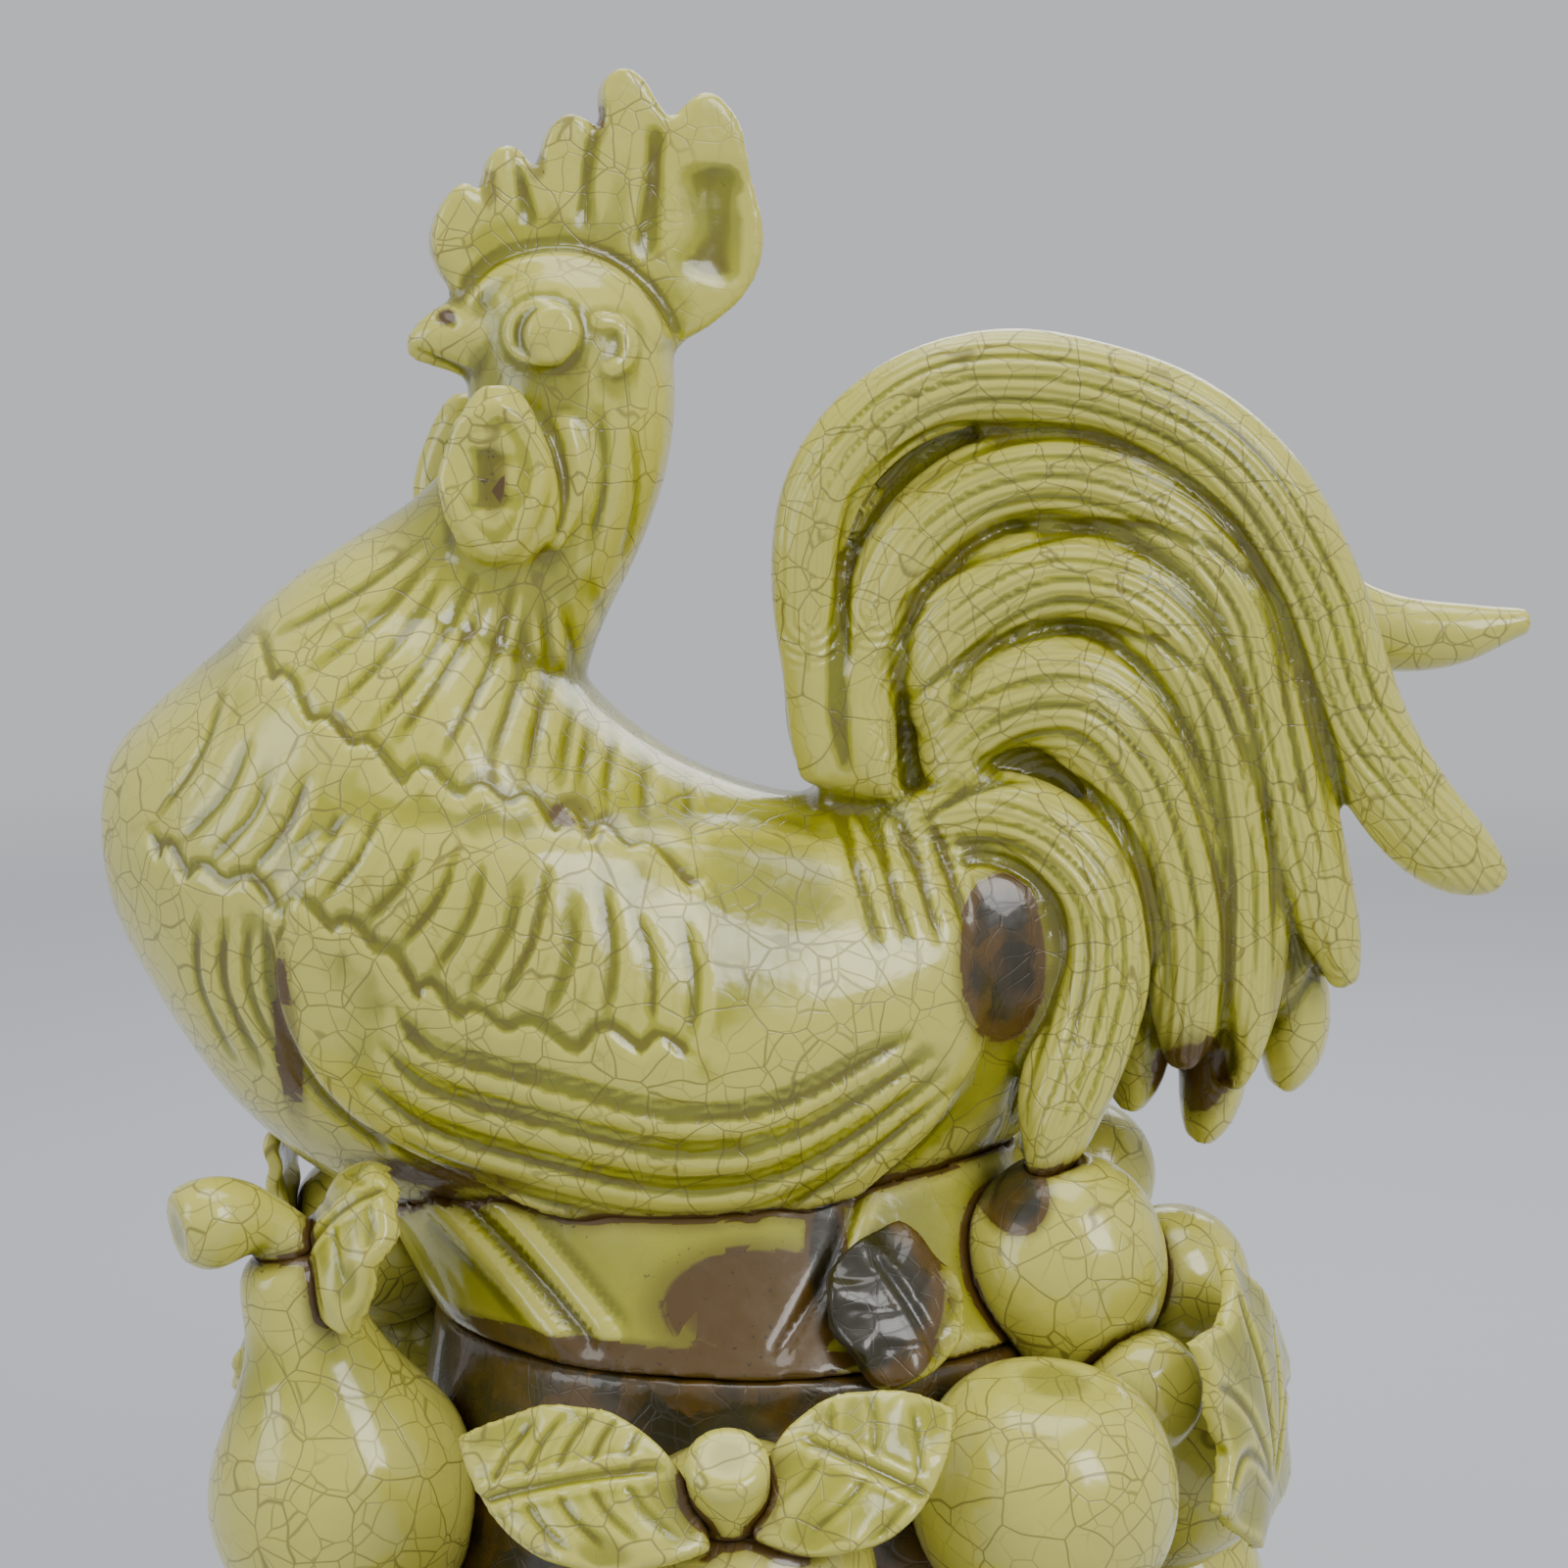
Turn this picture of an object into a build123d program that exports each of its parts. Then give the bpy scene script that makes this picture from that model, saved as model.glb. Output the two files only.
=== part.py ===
"""Crackle-glazed earthenware cockerel sitting on a mound of fruit and leaves, in millimetres.

The cockerel faces -X and its left side faces -Y. The origin is the centre of the foot ring, on the
plane that the piece stands on, and +Z is up. Every clay piece is cast, thrown or pressed by itself
and is luted with slip to what was put on before it, so each one is cut to the outside of its
neighbours and none of them overlap.
"""

import math
import os

from build123d import *

os.makedirs("parts", exist_ok=True)

# ---------------------------------------------------------------- driving sizes
foot_radius = 86  # outside of the ring that the piece stands on
foot_wall = 11
foot_height = 14
mound_bottom_radius = 82
mound_top_radius = 66
mound_top = 116  # height of the shoulder, where the perch is luted on
mound_wall = 6
perch_height = 36
perch_half_length = 70
perch_half_width = 40
perch_centre_x = -18
perch_wall = 6

bird_length = 292  # breast to the tip of the longest tail feather
body_wall = 6
vent_radius = 16  # hole under the belly that lets the kiln gases out
head_turn = 14  # degrees that the head looks towards its left
comb_thickness = 9
comb_edge_round = 1
wing_thickness = 3
tail_core_half_depth = 13
tail_core_round = 1.5
sickle_half_depth = 8
fruit_wall = 4
leaf_thickness = 3.2

drawn_length = 292  # length of the bird that the stations below were drawn for
bird_scale = bird_length / drawn_length
neck_axis_x = -38 * bird_scale

# The bird's stations are drawn from the mound's shoulder up: x, top, bottom, half width.
torso_stations = [
    (-131, 106, 89, 8),
    (-125, 119, 68, 24),
    (-110, 132, 45, 38),
    (-88, 148, 25, 48),
    (-60, 150, 11, 53),
    (-30, 122, 3, 54),
    (0, 105, 2, 50),
    (25, 102, 10, 42),
    (48, 104, 27, 30),
    (64, 102, 44, 18),
]

# Neck and head: centre x, centre height, half length along the bird, half width, lean in degrees.
neck_stations = [
    (-74, 84, 30, 28, 10),
    (-76, 104, 37, 34, 13),
    (-70, 128, 35.5, 33, 15),
    (-57, 146, 27.5, 25.5, 18),
    (-45.5, 159, 23, 21.5, 12),
    (-39, 172, 21.5, 20, 5),
    (-37, 185, 21, 18.5, 0),
    (-38.5, 197, 20.5, 18, -3),
    (-40, 206, 16.5, 15, 0),
    (-40, 211.5, 8.5, 7.5, 0),
    (-40, 213.5, 3, 2.5, 0),
]

# Beak, out from the neck's axis: forward distance, height, half height, half width.
beak_stations = [
    (10, 196, 13, 13),
    (18, 195.5, 9.5, 9.5),
    (25, 195.5, 6.4, 5.6),
    (29.5, 194.5, 4, 3.4),
    (31.8, 193.5, 1.6, 1.5),
]

# Sickle feathers of the tail: x, height, half width, distance out from the middle plane.
sickle_stations = {
    "sickle_1": [
        (14, 106, 6, 14), (12, 124, 6, 15), (10.5, 140, 6.5, 16), (13.5, 164, 8, 17), (34, 184, 9, 17),
        (64, 185, 9.5, 17), (92, 172, 10, 17), (110, 146, 10, 17), (121, 118, 9.5, 17),
        (134, 98, 9.5, 16), (149, 87, 3, 14),
    ],
    "sickle_2": [
        (24, 104, 6, 15), (22, 124, 6.5, 15), (24, 142, 7, 15), (31, 155, 8, 15), (45, 166, 8.5, 15),
        (62, 168, 9, 15), (81, 161, 9, 15), (94, 146, 9, 15), (101, 129, 9, 15),
        (106, 108, 9, 15), (112, 86, 8, 15), (119, 66, 3, 14),
    ],
    "sickle_3": [
        (40, 100, 5, 15), (38, 118, 6, 15), (38, 136, 8, 15), (58, 148, 9.5, 15), (77, 143, 9.5, 15),
        (91, 124, 9, 15), (98, 96, 7.5, 15), (99.5, 70, 7.5, 15), (96, 45, 2.5, 14),
    ],
    "sickle_4": [
        (40, 100, 6, 15), (39, 112, 7, 15), (49, 124, 11, 15), (65, 123, 12.5, 15), (77, 110, 12, 15),
        (84, 94, 11.5, 15), (87, 78, 10.5, 15), (87.5, 62, 8, 15), (86, 49, 2.5, 15),
    ],
    "sickle_5": [
        (26, 92, 5, 14), (33, 98, 7, 15), (45, 101, 8.5, 16), (58, 97.5, 9, 18), (67, 86, 9, 20),
        (69.5, 70, 9, 23), (65, 56, 9.5, 27), (59.5, 42, 8, 31), (56, 31, 3, 33),
    ],
}
# The right side's outermost sickle curls back instead of hanging down.
curled_sickle = [
    (14, 106, 6, 14), (12, 124, 6, 15), (10.5, 140, 6.5, 16), (13.5, 164, 8, 17), (34, 184, 9, 17),
    (64, 185, 9.5, 17), (92, 172, 10, 17), (109, 151, 9.5, 17), (122, 139, 9, 16),
    (135, 135, 8, 14), (149, 135.5, 6, 13), (161, 138, 2.5, 13),
]
under_tail_stations = {
    "under_tail_1": [(76, 74, 4, 0), (80, 58, 6, 0), (79, 45, 5.5, 0), (77, 38, 2.5, 0)],
    "under_tail_2": [(108, 82, 4, 0), (111, 64, 7, 0), (111, 50, 6.5, 0), (109, 42, 2.5, 0)],
    "under_tail_3": [(92, 68, 5, 0), (95, 50, 7, 0), (94, 38, 6, 0), (92, 31, 2.5, 0)],
}
under_tail_half_depth = 11

tail_core_outline = [
    (26, 54), (14, 100), (16, 134), (22, 162), (40, 178), (66, 178), (92, 164),
    (104, 140), (112, 112), (116, 84), (104, 58), (84, 54), (64, 84), (48, 76),
]
comb_outline = [
    (-59, 203), (-65, 212), (-63, 221), (-57.5, 225), (-55.5, 222), (-53, 231), (-48, 232.5),
    (-44.5, 228), (-41.5, 236), (-36, 239.5), (-31, 237), (-30.5, 246), (-26.5, 249), (-21, 245),
    (-17, 239.5), (-10, 244.5), (-5, 242), (0, 228), (2.5, 216), (-1, 205), (-9, 198), (-17, 193),
]
wing_outline = [
    (-85, 96), (-91, 82), (-90, 66), (-81, 49), (-62, 36), (-38, 27), (-12, 21),
    (8, 22), (25, 33), (41, 50), (46, 67), (38, 85), (14, 97), (-20, 101), (-55, 101),
]

# Wattles: height above the shoulder, half width, half thickness; hung beside the throat.
wattle_stations = [
    (185, 3, 3), (181, 6.5, 4), (173, 10, 4.8), (165, 11.8, 5),
    (157, 10.5, 4.8), (151, 6, 3.4), (149, 2, 2),
]
wattle_forward = 17
wattle_side = 21
eye_forward = 6
eye_height = 195
eye_radius = 5
eye_standing = 1.6
pupil_radius = 2.3

# Profiles of fruit of radius 1, from the bottom to the top: height along the axis, radius.
fruit_profiles = {
    "pear": [
        (-1.0, 0.25), (-0.93, 0.55), (-0.5, 0.92), (0, 1), (0.5, 0.86), (1.1, 0.52), (1.6, 0.42), (1.9, 0.2),
    ],
    "quince": [(-1.1, 0.25), (-1.0, 0.52), (-0.5, 0.9), (0, 1), (0.5, 0.86), (0.92, 0.5), (1.05, 0.22)],
    "apple": [(-0.9, 0.3), (-0.82, 0.56), (-0.4, 0.92), (0.05, 1), (0.5, 0.87), (0.8, 0.58), (0.88, 0.3)],
    "plum": [(-0.98, 0.2), (-0.85, 0.53), (-0.45, 0.89), (0, 1), (0.45, 0.89), (0.85, 0.53), (0.98, 0.2)],
}
# Fruit: shape, azimuth from the front towards +X, height, radius, bed depth in the mound, lean out.
fruits = {
    "lower_apple_1": ("apple", -28, 41, 27, 13, 20),
    "lower_quince_1": ("quince", 16, 39, 27, 13, 65),
    "lower_apple_2": ("apple", 60, 42, 26, 12, 10),
    "lower_pear_1": ("pear", 104, 40, 24, 11, 8),
    "lower_apple_3": ("apple", 148, 41, 27, 13, 25),
    "lower_quince_2": ("quince", 192, 40, 27, 13, 70),
    "lower_apple_4": ("apple", 236, 42, 27, 13, 12),
    "lower_pear_2": ("pear", 284, 40, 24, 11, -6),
    "pear": ("pear", -60.5, 89, 26, 5, 12),
    "front_apple": ("apple", -2, 85, 26, 12, 34),
    "right_apple": ("apple", 38, 97, 25, 6, 8),
    "side_quince": ("quince", 84, 86, 24, 9, 15),
    "back_apple_1": ("apple", 132, 90, 26, 9, 18),
    "back_pear": ("pear", 181, 84, 25, 6, 6),
    "back_apple_2": ("apple", 240, 90, 26, 9, 15),
    "upper_apple": ("quince", 64, 129, 21, 19, 8),
    "upper_plum": ("plum", 80, 121, 15.5, -5, 10),
    "upper_peach": ("plum", 106, 135, 16, 9, 10),
    "small_plum": ("plum", 60, 107, 12.5, -7, 0),
    "left_plum": ("plum", -101, 123, 20, 4, 12),
    "back_peach_1": ("plum", 152, 130, 19, 12, 10),
    "back_peach_2": ("plum", 205, 129, 18, 10, 10),
}
solid_fruit_radius = 17  # fruit smaller than this is pressed solid

# Leaves: azimuth, distance from the axis, height, tilt of the face up, roll of the tip from
# straight up (clockwise from outside), length, width, dome radius, outline.
leaves = {
    "front_leaf_left": (-17, 106, 111, 38, -74, 52, 27, 60, "oval"),
    "front_leaf_right": (11, 101, 113, 36, 62, 44, 26, 60, "oval"),
    "brown_leaf": (26, 65, 131, 36, 20, 34, 28, 40, "oval"),
    "pear_leaf": (-55, 99, 142, 26, 150, 36, 28, 24, "oval"),
    "left_leaf": (-94, 102, 147, 4, -8, 48, 19, 50, "oval"),
    "vine_leaf_left": (-76, 109, 82, 4, -12, 60, 50, 90, "vine"),
    "vine_leaf_right": (64, 111, 103, 6, 8, 68, 54, 90, "vine"),
    "vine_leaf_back": (158, 112, 96, 12, 10, 58, 50, 90, "vine"),
    "back_leaf_left": (210, 112, 104, 26, -60, 46, 27, 60, "oval"),
    "back_leaf_right": (264, 108, 104, 20, 40, 44, 26, 60, "oval"),
}

pear_stem_sizes = (6.2, 8.6)  # shank and knob radius
front_stem_radius = 6.6


# ---------------------------------------------------------------- helpers
def bird_point(x, height, out=0.0):
    """A drawn point of the bird at its real size and place."""
    return Vector(bird_scale * x, bird_scale * out, mound_top + bird_scale * height)


def mound_radius(z):
    """Outside radius of the mound at a height, the top radius above the shoulder."""
    share = min(1.0, max(0.0, (z - foot_height) / (mound_top - foot_height)))
    return mound_bottom_radius + share * (mound_top_radius - mound_bottom_radius)


def polar_point(azimuth, distance, z):
    """A point at an azimuth from the front (-Y) towards +X."""
    turn = math.radians(azimuth)
    return Vector(distance * math.sin(turn), -distance * math.cos(turn), z)


def path_planes(points):
    """A plane across a path at each of its points, with its x direction in the path's own bend."""
    planes = []
    for i, at in enumerate(points):
        ahead = points[min(i + 1, len(points) - 1)] - points[max(i - 1, 0)]
        across = ahead.cross(Vector(0, 1, 0)).normalized()
        planes.append(Plane(origin=at, x_dir=across, z_dir=ahead))
    return planes


def lofted(sections):
    """Solid through ellipses, each given as its plane, half width and half depth."""
    with BuildPart() as solid:
        for plane, half_width, half_depth in sections:
            with BuildSketch(plane):
                Ellipse(half_width, half_depth)
        loft()
    return solid


def boxes_meet(first, second):
    """Whether two bounding boxes touch."""
    return all(
        low <= high
        for low, high in zip(
            (*first.min, *second.min),
            (*second.max, *first.max),
        )
    )


class Assembly:
    """The outsides of the pieces placed so far, which later pieces are cut against."""

    def __init__(self):
        """Starts with nothing placed."""
        self.outsides = []

    def seat(self, piece):
        """Cuts a piece to the outside of what is placed and keeps its main solid."""
        reach = piece.part.bounding_box()
        with BuildPart() as cut:
            add(piece.part)
            for outside, box in self.outsides:
                if boxes_meet(box, reach):
                    add(outside, mode=Mode.SUBTRACT)
            if len(cut.part.solids()) > 1:
                add(cut.part.solids().sort_by(SortBy.VOLUME)[-1], mode=Mode.REPLACE)
        return cut

    def place(self, name, piece, outside=None):
        """Writes a finished piece's STEP file and keeps its outside for the pieces that follow."""
        piece.part.label = name
        export_step(piece.part, f"parts/{name}.step")
        kept = (outside or piece).part
        self.outsides.append((kept, kept.bounding_box()))


# ---------------------------------------------------------------- foot, mound and perch
def make_foot():
    """Turned ring that the piece stands on."""
    with BuildPart() as foot:
        with BuildSketch():
            Circle(foot_radius)
            Circle(foot_radius - foot_wall, mode=Mode.SUBTRACT)
        extrude(amount=foot_height)
        top_edges = foot.edges().filter_by(GeomType.CIRCLE).group_by(Axis.Z)[-1]
        outer_edge = top_edges.sort_by(SortBy.RADIUS)[-1]
        fillet(outer_edge, foot_height / 3)
    return foot


def mound_solid(inset):
    """The thrown cone of the mound, smaller all round by an inset."""
    with BuildPart() as cone:
        with BuildSketch(Plane.XY.offset(foot_height)):
            Circle(mound_bottom_radius - inset)
        with BuildSketch(Plane.XY.offset(mound_top)):
            Circle(mound_top_radius - inset)
        loft(ruled=True)
    return cone


def perch_solid(inset):
    """The saddle between the mound's shoulder and the belly, smaller all round by an inset."""
    with BuildPart() as saddle:
        with BuildSketch(Plane.XY.offset(mound_top)):
            Circle(mound_top_radius - inset)
        with BuildSketch(Plane(origin=(perch_centre_x, 0, mound_top + perch_height))):
            Ellipse(perch_half_length - inset, perch_half_width - inset)
        loft()
    return saddle


# ---------------------------------------------------------------- the bird
def torso(grow, stations=torso_stations):
    """The torso's solid, larger all round by an amount."""
    sections = []
    for x, top, bottom, half_width in stations:
        plane = Plane(origin=bird_point(x, (top + bottom) / 2), x_dir=(0, 1, 0), z_dir=(1, 0, 0))
        half_height = bird_scale * (top - bottom) / 2
        sections.append((plane, bird_scale * half_width + grow, half_height + grow))
    return lofted(sections)


def neck(grow, stations=neck_stations):
    """Neck and head, larger all round by an amount."""
    sections = []
    for x, height, half_length, half_width, lean in stations:
        turn = math.radians(lean)
        plane = Plane(
            origin=bird_point(x, height),
            x_dir=(math.cos(turn), 0, -math.sin(turn)),
            z_dir=(math.sin(turn), 0, math.cos(turn)),
        )
        sections.append((plane, bird_scale * half_length + grow, bird_scale * half_width + grow))
    return lofted(sections)


def head_plane(forward, height, side):
    """A plane on the turned head, its x direction forward and its z direction out to one side."""
    turn = math.radians(head_turn)
    ahead = Vector(-math.cos(turn), -math.sin(turn), 0)
    left = Vector(math.sin(turn), -math.cos(turn), 0)
    at = Vector(neck_axis_x, 0, mound_top + bird_scale * height)
    at = at + ahead * (bird_scale * forward) + left * (bird_scale * side)
    out = left if side >= 0 else left * -1
    return Plane(origin=at, x_dir=ahead, z_dir=out)


def beak():
    """The beak's solid, which is cast in one with the head."""
    sections = []
    for forward, height, half_height, half_width in beak_stations:
        side_on = head_plane(forward, height, 0)
        across = Plane(origin=side_on.origin, x_dir=side_on.z_dir, z_dir=side_on.x_dir)
        sections.append((across, bird_scale * half_width, bird_scale * half_height))
    return lofted(sections)


def make_body():
    """Hollow casting of torso, neck and head, and its solid outside."""
    with BuildPart() as outside:
        add(torso(0).part)
        add(neck(0).part)
        add(beak().part)
    with BuildPart() as cavity:
        add(torso(-body_wall, torso_stations[1:-1]).part)
        add(neck(-body_wall, neck_stations[:-3]).part)
    with BuildPart() as shell:
        add(outside.part)
        add(cavity.part, mode=Mode.SUBTRACT)
        with Locations(bird_point(perch_centre_x, torso_stations[5][2])):
            Cylinder(vent_radius, 4 * body_wall, mode=Mode.SUBTRACT)
    return shell, outside


def make_wing(side, grown_torso):
    """Pressed wing panel that follows the flank. Side is -1 for the left and 1 for the right."""
    with BuildPart() as wing:
        add(grown_torso.part)
        with BuildSketch(Plane.XZ):
            with BuildLine():
                edge = [bird_point(x, z) for x, z in wing_outline]
                Spline(*[(p.X, p.Z) for p in edge], periodic=True)
            make_face()
        extrude(amount=-side * 2 * bird_scale * torso_stations[5][3], mode=Mode.INTERSECT)
    return wing


def make_comb():
    """Upright comb, set along the turned head."""
    turn = math.radians(head_turn)
    along = Plane(
        origin=(neck_axis_x, 0, mound_top),
        x_dir=(math.cos(turn), math.sin(turn), 0),
        z_dir=(math.sin(turn), -math.cos(turn), 0),
    )
    with BuildPart() as comb:
        with BuildSketch(along):
            with BuildLine():
                edge = [(bird_scale * x - neck_axis_x, bird_scale * z) for x, z in comb_outline]
                Spline(*edge, periodic=True)
            make_face()
        extrude(amount=comb_thickness / 2, both=True)
        fillet(comb.edges(), comb_edge_round)
    return comb


def make_wattle(side):
    """Hanging wattle beside the throat. Side is 1 for the bird's left."""
    sections = []
    for height, half_width, half_depth in wattle_stations:
        hung = head_plane(wattle_forward, height, side * wattle_side)
        level = Plane(origin=hung.origin, x_dir=hung.x_dir, z_dir=(0, 0, 1))
        sections.append((level, bird_scale * half_width, bird_scale * half_depth))
    return lofted(sections)


def make_eye(side):
    """Round eye button with a raised pupil. Side is 1 for the bird's left."""
    face = head_plane(eye_forward, eye_height, side * neck_stations[7][3] * 0.8)
    rise = bird_scale * neck_stations[7][3] * 0.2 + eye_standing
    with BuildPart() as eye:
        with BuildSketch(face):
            Circle(eye_radius)
        extrude(amount=rise)
        fillet(eye.edges().sort_by_distance(face.origin)[-1], eye_standing / 2)
        with BuildSketch(Plane(origin=face.origin, x_dir=face.x_dir, z_dir=face.z_dir).offset(rise)):
            Circle(pupil_radius)
        extrude(amount=eye_standing / 2)
    return eye


def make_tail_core():
    """Upright slab that carries the sickle feathers."""
    with BuildPart() as core:
        with BuildSketch(Plane.XZ):
            with BuildLine():
                edge = [bird_point(x, z) for x, z in tail_core_outline]
                Spline(*[(p.X, p.Z) for p in edge], periodic=True)
            make_face()
        extrude(amount=tail_core_half_depth, both=True)
        fillet(core.edges(), tail_core_round)
    return core


def make_feather(stations, side, half_depth):
    """Long feather through its stations. Side is -1 for the left, 1 for the right, 0 for the middle."""
    points = [bird_point(x, height, side * out) for x, height, _, out in stations]
    widest = max(half_width for _, _, half_width, _ in stations)
    sections = []
    for plane, (_, _, half_width, _) in zip(path_planes(points), stations):
        depth = half_depth * (half_width / widest) ** 0.5
        sections.append((plane, bird_scale * half_width, depth))
    return lofted(sections)


# ---------------------------------------------------------------- fruit, leaves and stems
def fruit_plane(azimuth, z, radius, bed, lean):
    """A plane across a fruit at its middle, its z direction along the fruit's axis."""
    centre = polar_point(azimuth, mound_radius(z) + radius - bed, z)
    out = polar_point(azimuth, 1, 0)
    tilt = math.radians(lean)
    upright = Vector(0, 0, 1) * math.cos(tilt) + out * math.sin(tilt)
    across = out * math.cos(tilt) - Vector(0, 0, 1) * math.sin(tilt)
    return Plane(origin=centre, x_dir=across, z_dir=upright)


def fruit_solid(shape, plane, radius):
    """Round solid of a fruit of one radius."""
    sections = []
    for up, share in fruit_profiles[shape]:
        sections.append((plane.offset(radius * up), radius * share, radius * share))
    return lofted(sections)


def leaf_plane(azimuth, distance, z, tilt, roll):
    """A leaf's plane: z direction out of its face and x direction towards its tip."""
    out = polar_point(azimuth, 1, 0)
    sideways = polar_point(azimuth + 90, 1, 0)
    lift = math.radians(tilt)
    face = out * math.cos(lift) + Vector(0, 0, 1) * math.sin(lift)
    upright = Vector(0, 0, 1) * math.cos(lift) - out * math.sin(lift)
    swing = math.radians(roll)
    tip = upright * math.cos(swing) + sideways * math.sin(swing)
    return Plane(origin=polar_point(azimuth, distance, z), x_dir=tip, z_dir=face)


def vine_outline(length, width):
    """Points of a five-lobed vine leaf with toothed lobes, from the stalk round to the stalk."""
    lobes = [(0, 0.5), (58, 0.5), (116, 0.44)]
    half = [(-0.30, 0.0)]
    for turn, reach in reversed(lobes):
        for offset, share in ((20, 0.80), (9, 0.86), (0, 1.0), (-9, 0.86), (-20, 0.74)):
            angle = math.radians(turn + offset)
            if math.sin(angle) > -0.02:
                half.append((reach * share * math.cos(angle), max(0.0, reach * share * math.sin(angle))))
    half = [p for p in half[1:] if p[1] > 0.02]
    points = [(-0.36, 0.0)] + half + [(0.5, 0.0)]
    mirrored = [(x, -y) for x, y in reversed(points[1:-1])]
    return [(x * length, y * width * 1.1) for x, y in points + mirrored]


def make_leaf(azimuth, distance, z, tilt, roll, length, width, dome, outline):
    """Pressed leaf: a piece of a thin dome inside the leaf's outline."""
    plane = leaf_plane(azimuth, distance, z, tilt, roll)
    with BuildPart(plane) as leaf:
        with Locations((0, 0, -dome)):
            Sphere(dome)
            Sphere(dome - leaf_thickness, mode=Mode.SUBTRACT)
        with BuildSketch(plane):
            with BuildLine():
                if outline == "vine":
                    Polyline(*vine_outline(length, width), close=True)
                else:
                    root, tip = (-length / 2, 0), (length / 2, 0)
                    shoulders = [(-0.28 * length, 0.38 * width), (0.02 * length, 0.5 * width)]
                    far = (0.32 * length, 0.28 * width)
                    Spline(root, *shoulders, far, tip)
                    Spline(root, *[(x, -y) for x, y in shoulders], (far[0], -far[1]), tip)
            make_face()
        extrude(amount=length / 2, both=True, mode=Mode.INTERSECT)
    return leaf


def make_pear_stem(pear_plane):
    """Curved stalk with a round knob, growing from the top of the front pear."""
    shank, knob = pear_stem_sizes
    radius = fruits["pear"][3]
    top = pear_plane.origin + pear_plane.z_dir * (1.72 * radius)
    out = pear_plane.x_dir
    bend = [
        (0, 0, shank), (2, 7, shank), (7, 12, shank),
        (14, 14.5, knob), (19, 15.2, knob), (23, 15.5, knob * 0.7),
    ]
    points = [top + out * o + Vector(0, 0, 1) * up for o, up, _ in bend]
    sections = [(plane, thick, thick) for plane, (_, _, thick) in zip(path_planes(points), bend)]
    return lofted(sections)


def make_front_stem(apple_plane):
    """Short cut stalk of the front apple."""
    radius = fruits["front_apple"][3]
    seat = apple_plane.origin + apple_plane.z_dir * (0.6 * radius)
    plane = Plane(origin=seat, z_dir=apple_plane.z_dir)
    stem_length = 0.4 * radius + 12
    with BuildPart() as stem:
        with BuildSketch(plane):
            Circle(front_stem_radius)
        with BuildSketch(plane.offset(stem_length)):
            Circle(front_stem_radius * 1.15)
        loft()
        rim = stem.edges().group_by(Axis(seat, apple_plane.z_dir))[-1]
        fillet(rim, front_stem_radius / 3)
    return stem


# ---------------------------------------------------------------- assembly, in the order it is luted
def main():
    """Builds every piece against what is already there and writes its STEP file."""
    clay = Assembly()
    clay.place("foot_ring", make_foot())

    mound_outside = mound_solid(0)
    with BuildPart() as mound:
        add(mound_outside.part)
        add(mound_solid(mound_wall).part, mode=Mode.SUBTRACT)
    clay.place("core_mound", mound, mound_outside)

    body, body_outside = make_body()
    clay.place("body", body, body_outside)

    perch_outside = clay.seat(perch_solid(0))
    with BuildPart() as perch:
        add(perch_outside.part)
        add(perch_solid(perch_wall).part, mode=Mode.SUBTRACT)
    clay.place("perch", perch, perch_outside)

    grown_torso = torso(wing_thickness)
    for name, side in (("left_wing", -1), ("right_wing", 1)):
        clay.place(name, clay.seat(make_wing(side, grown_torso)))

    clay.place("comb", clay.seat(make_comb()))
    for side_name, side in (("left", 1), ("right", -1)):
        clay.place(f"{side_name}_wattle", clay.seat(make_wattle(side)))
        clay.place(f"{side_name}_eye", clay.seat(make_eye(side)))

    clay.place("tail_core", clay.seat(make_tail_core()))
    for side_name, side in (("left", -1), ("right", 1)):
        for name, stations in sickle_stations.items():
            curls = side == 1 and name == "sickle_1"
            feather = make_feather(curled_sickle if curls else stations, side, sickle_half_depth)
            clay.place(f"{side_name}_{name}", clay.seat(feather))
    for name, stations in under_tail_stations.items():
        clay.place(name, clay.seat(make_feather(stations, 0, under_tail_half_depth)))

    for name, (shape, azimuth, z, radius, bed, lean) in fruits.items():
        plane = fruit_plane(azimuth, z, radius, bed, lean)
        outside = clay.seat(fruit_solid(shape, plane, radius))
        with BuildPart() as fruit:
            add(outside.part)
            if radius > solid_fruit_radius:
                add(fruit_solid(shape, plane, radius - fruit_wall).part, mode=Mode.SUBTRACT)
        clay.place(name, fruit, outside)

    for name, fruit_name, maker in (
        ("pear_stem", "pear", make_pear_stem),
        ("front_stem", "front_apple", make_front_stem),
    ):
        clay.place(name, clay.seat(maker(fruit_plane(*fruits[fruit_name][1:]))))
    for name, sizes in leaves.items():
        clay.place(name, clay.seat(make_leaf(*sizes)))


main()
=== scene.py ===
"""Looks of a glazed earthenware cockerel on a mound of moulded fruit and leaves.

The packed clay pieces are the frame. Each one is smoothed as soft clay, gets its modelled relief and
is covered by a chartreuse crackle glaze with brown stain and painted shade in its hollows and joins.
Lengths are in metres.
"""

import logging
import math
from dataclasses import dataclass, field
from enum import Enum

import bpy
import numpy as np
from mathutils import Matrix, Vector
from mathutils.bvhtree import BVHTree

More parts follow.
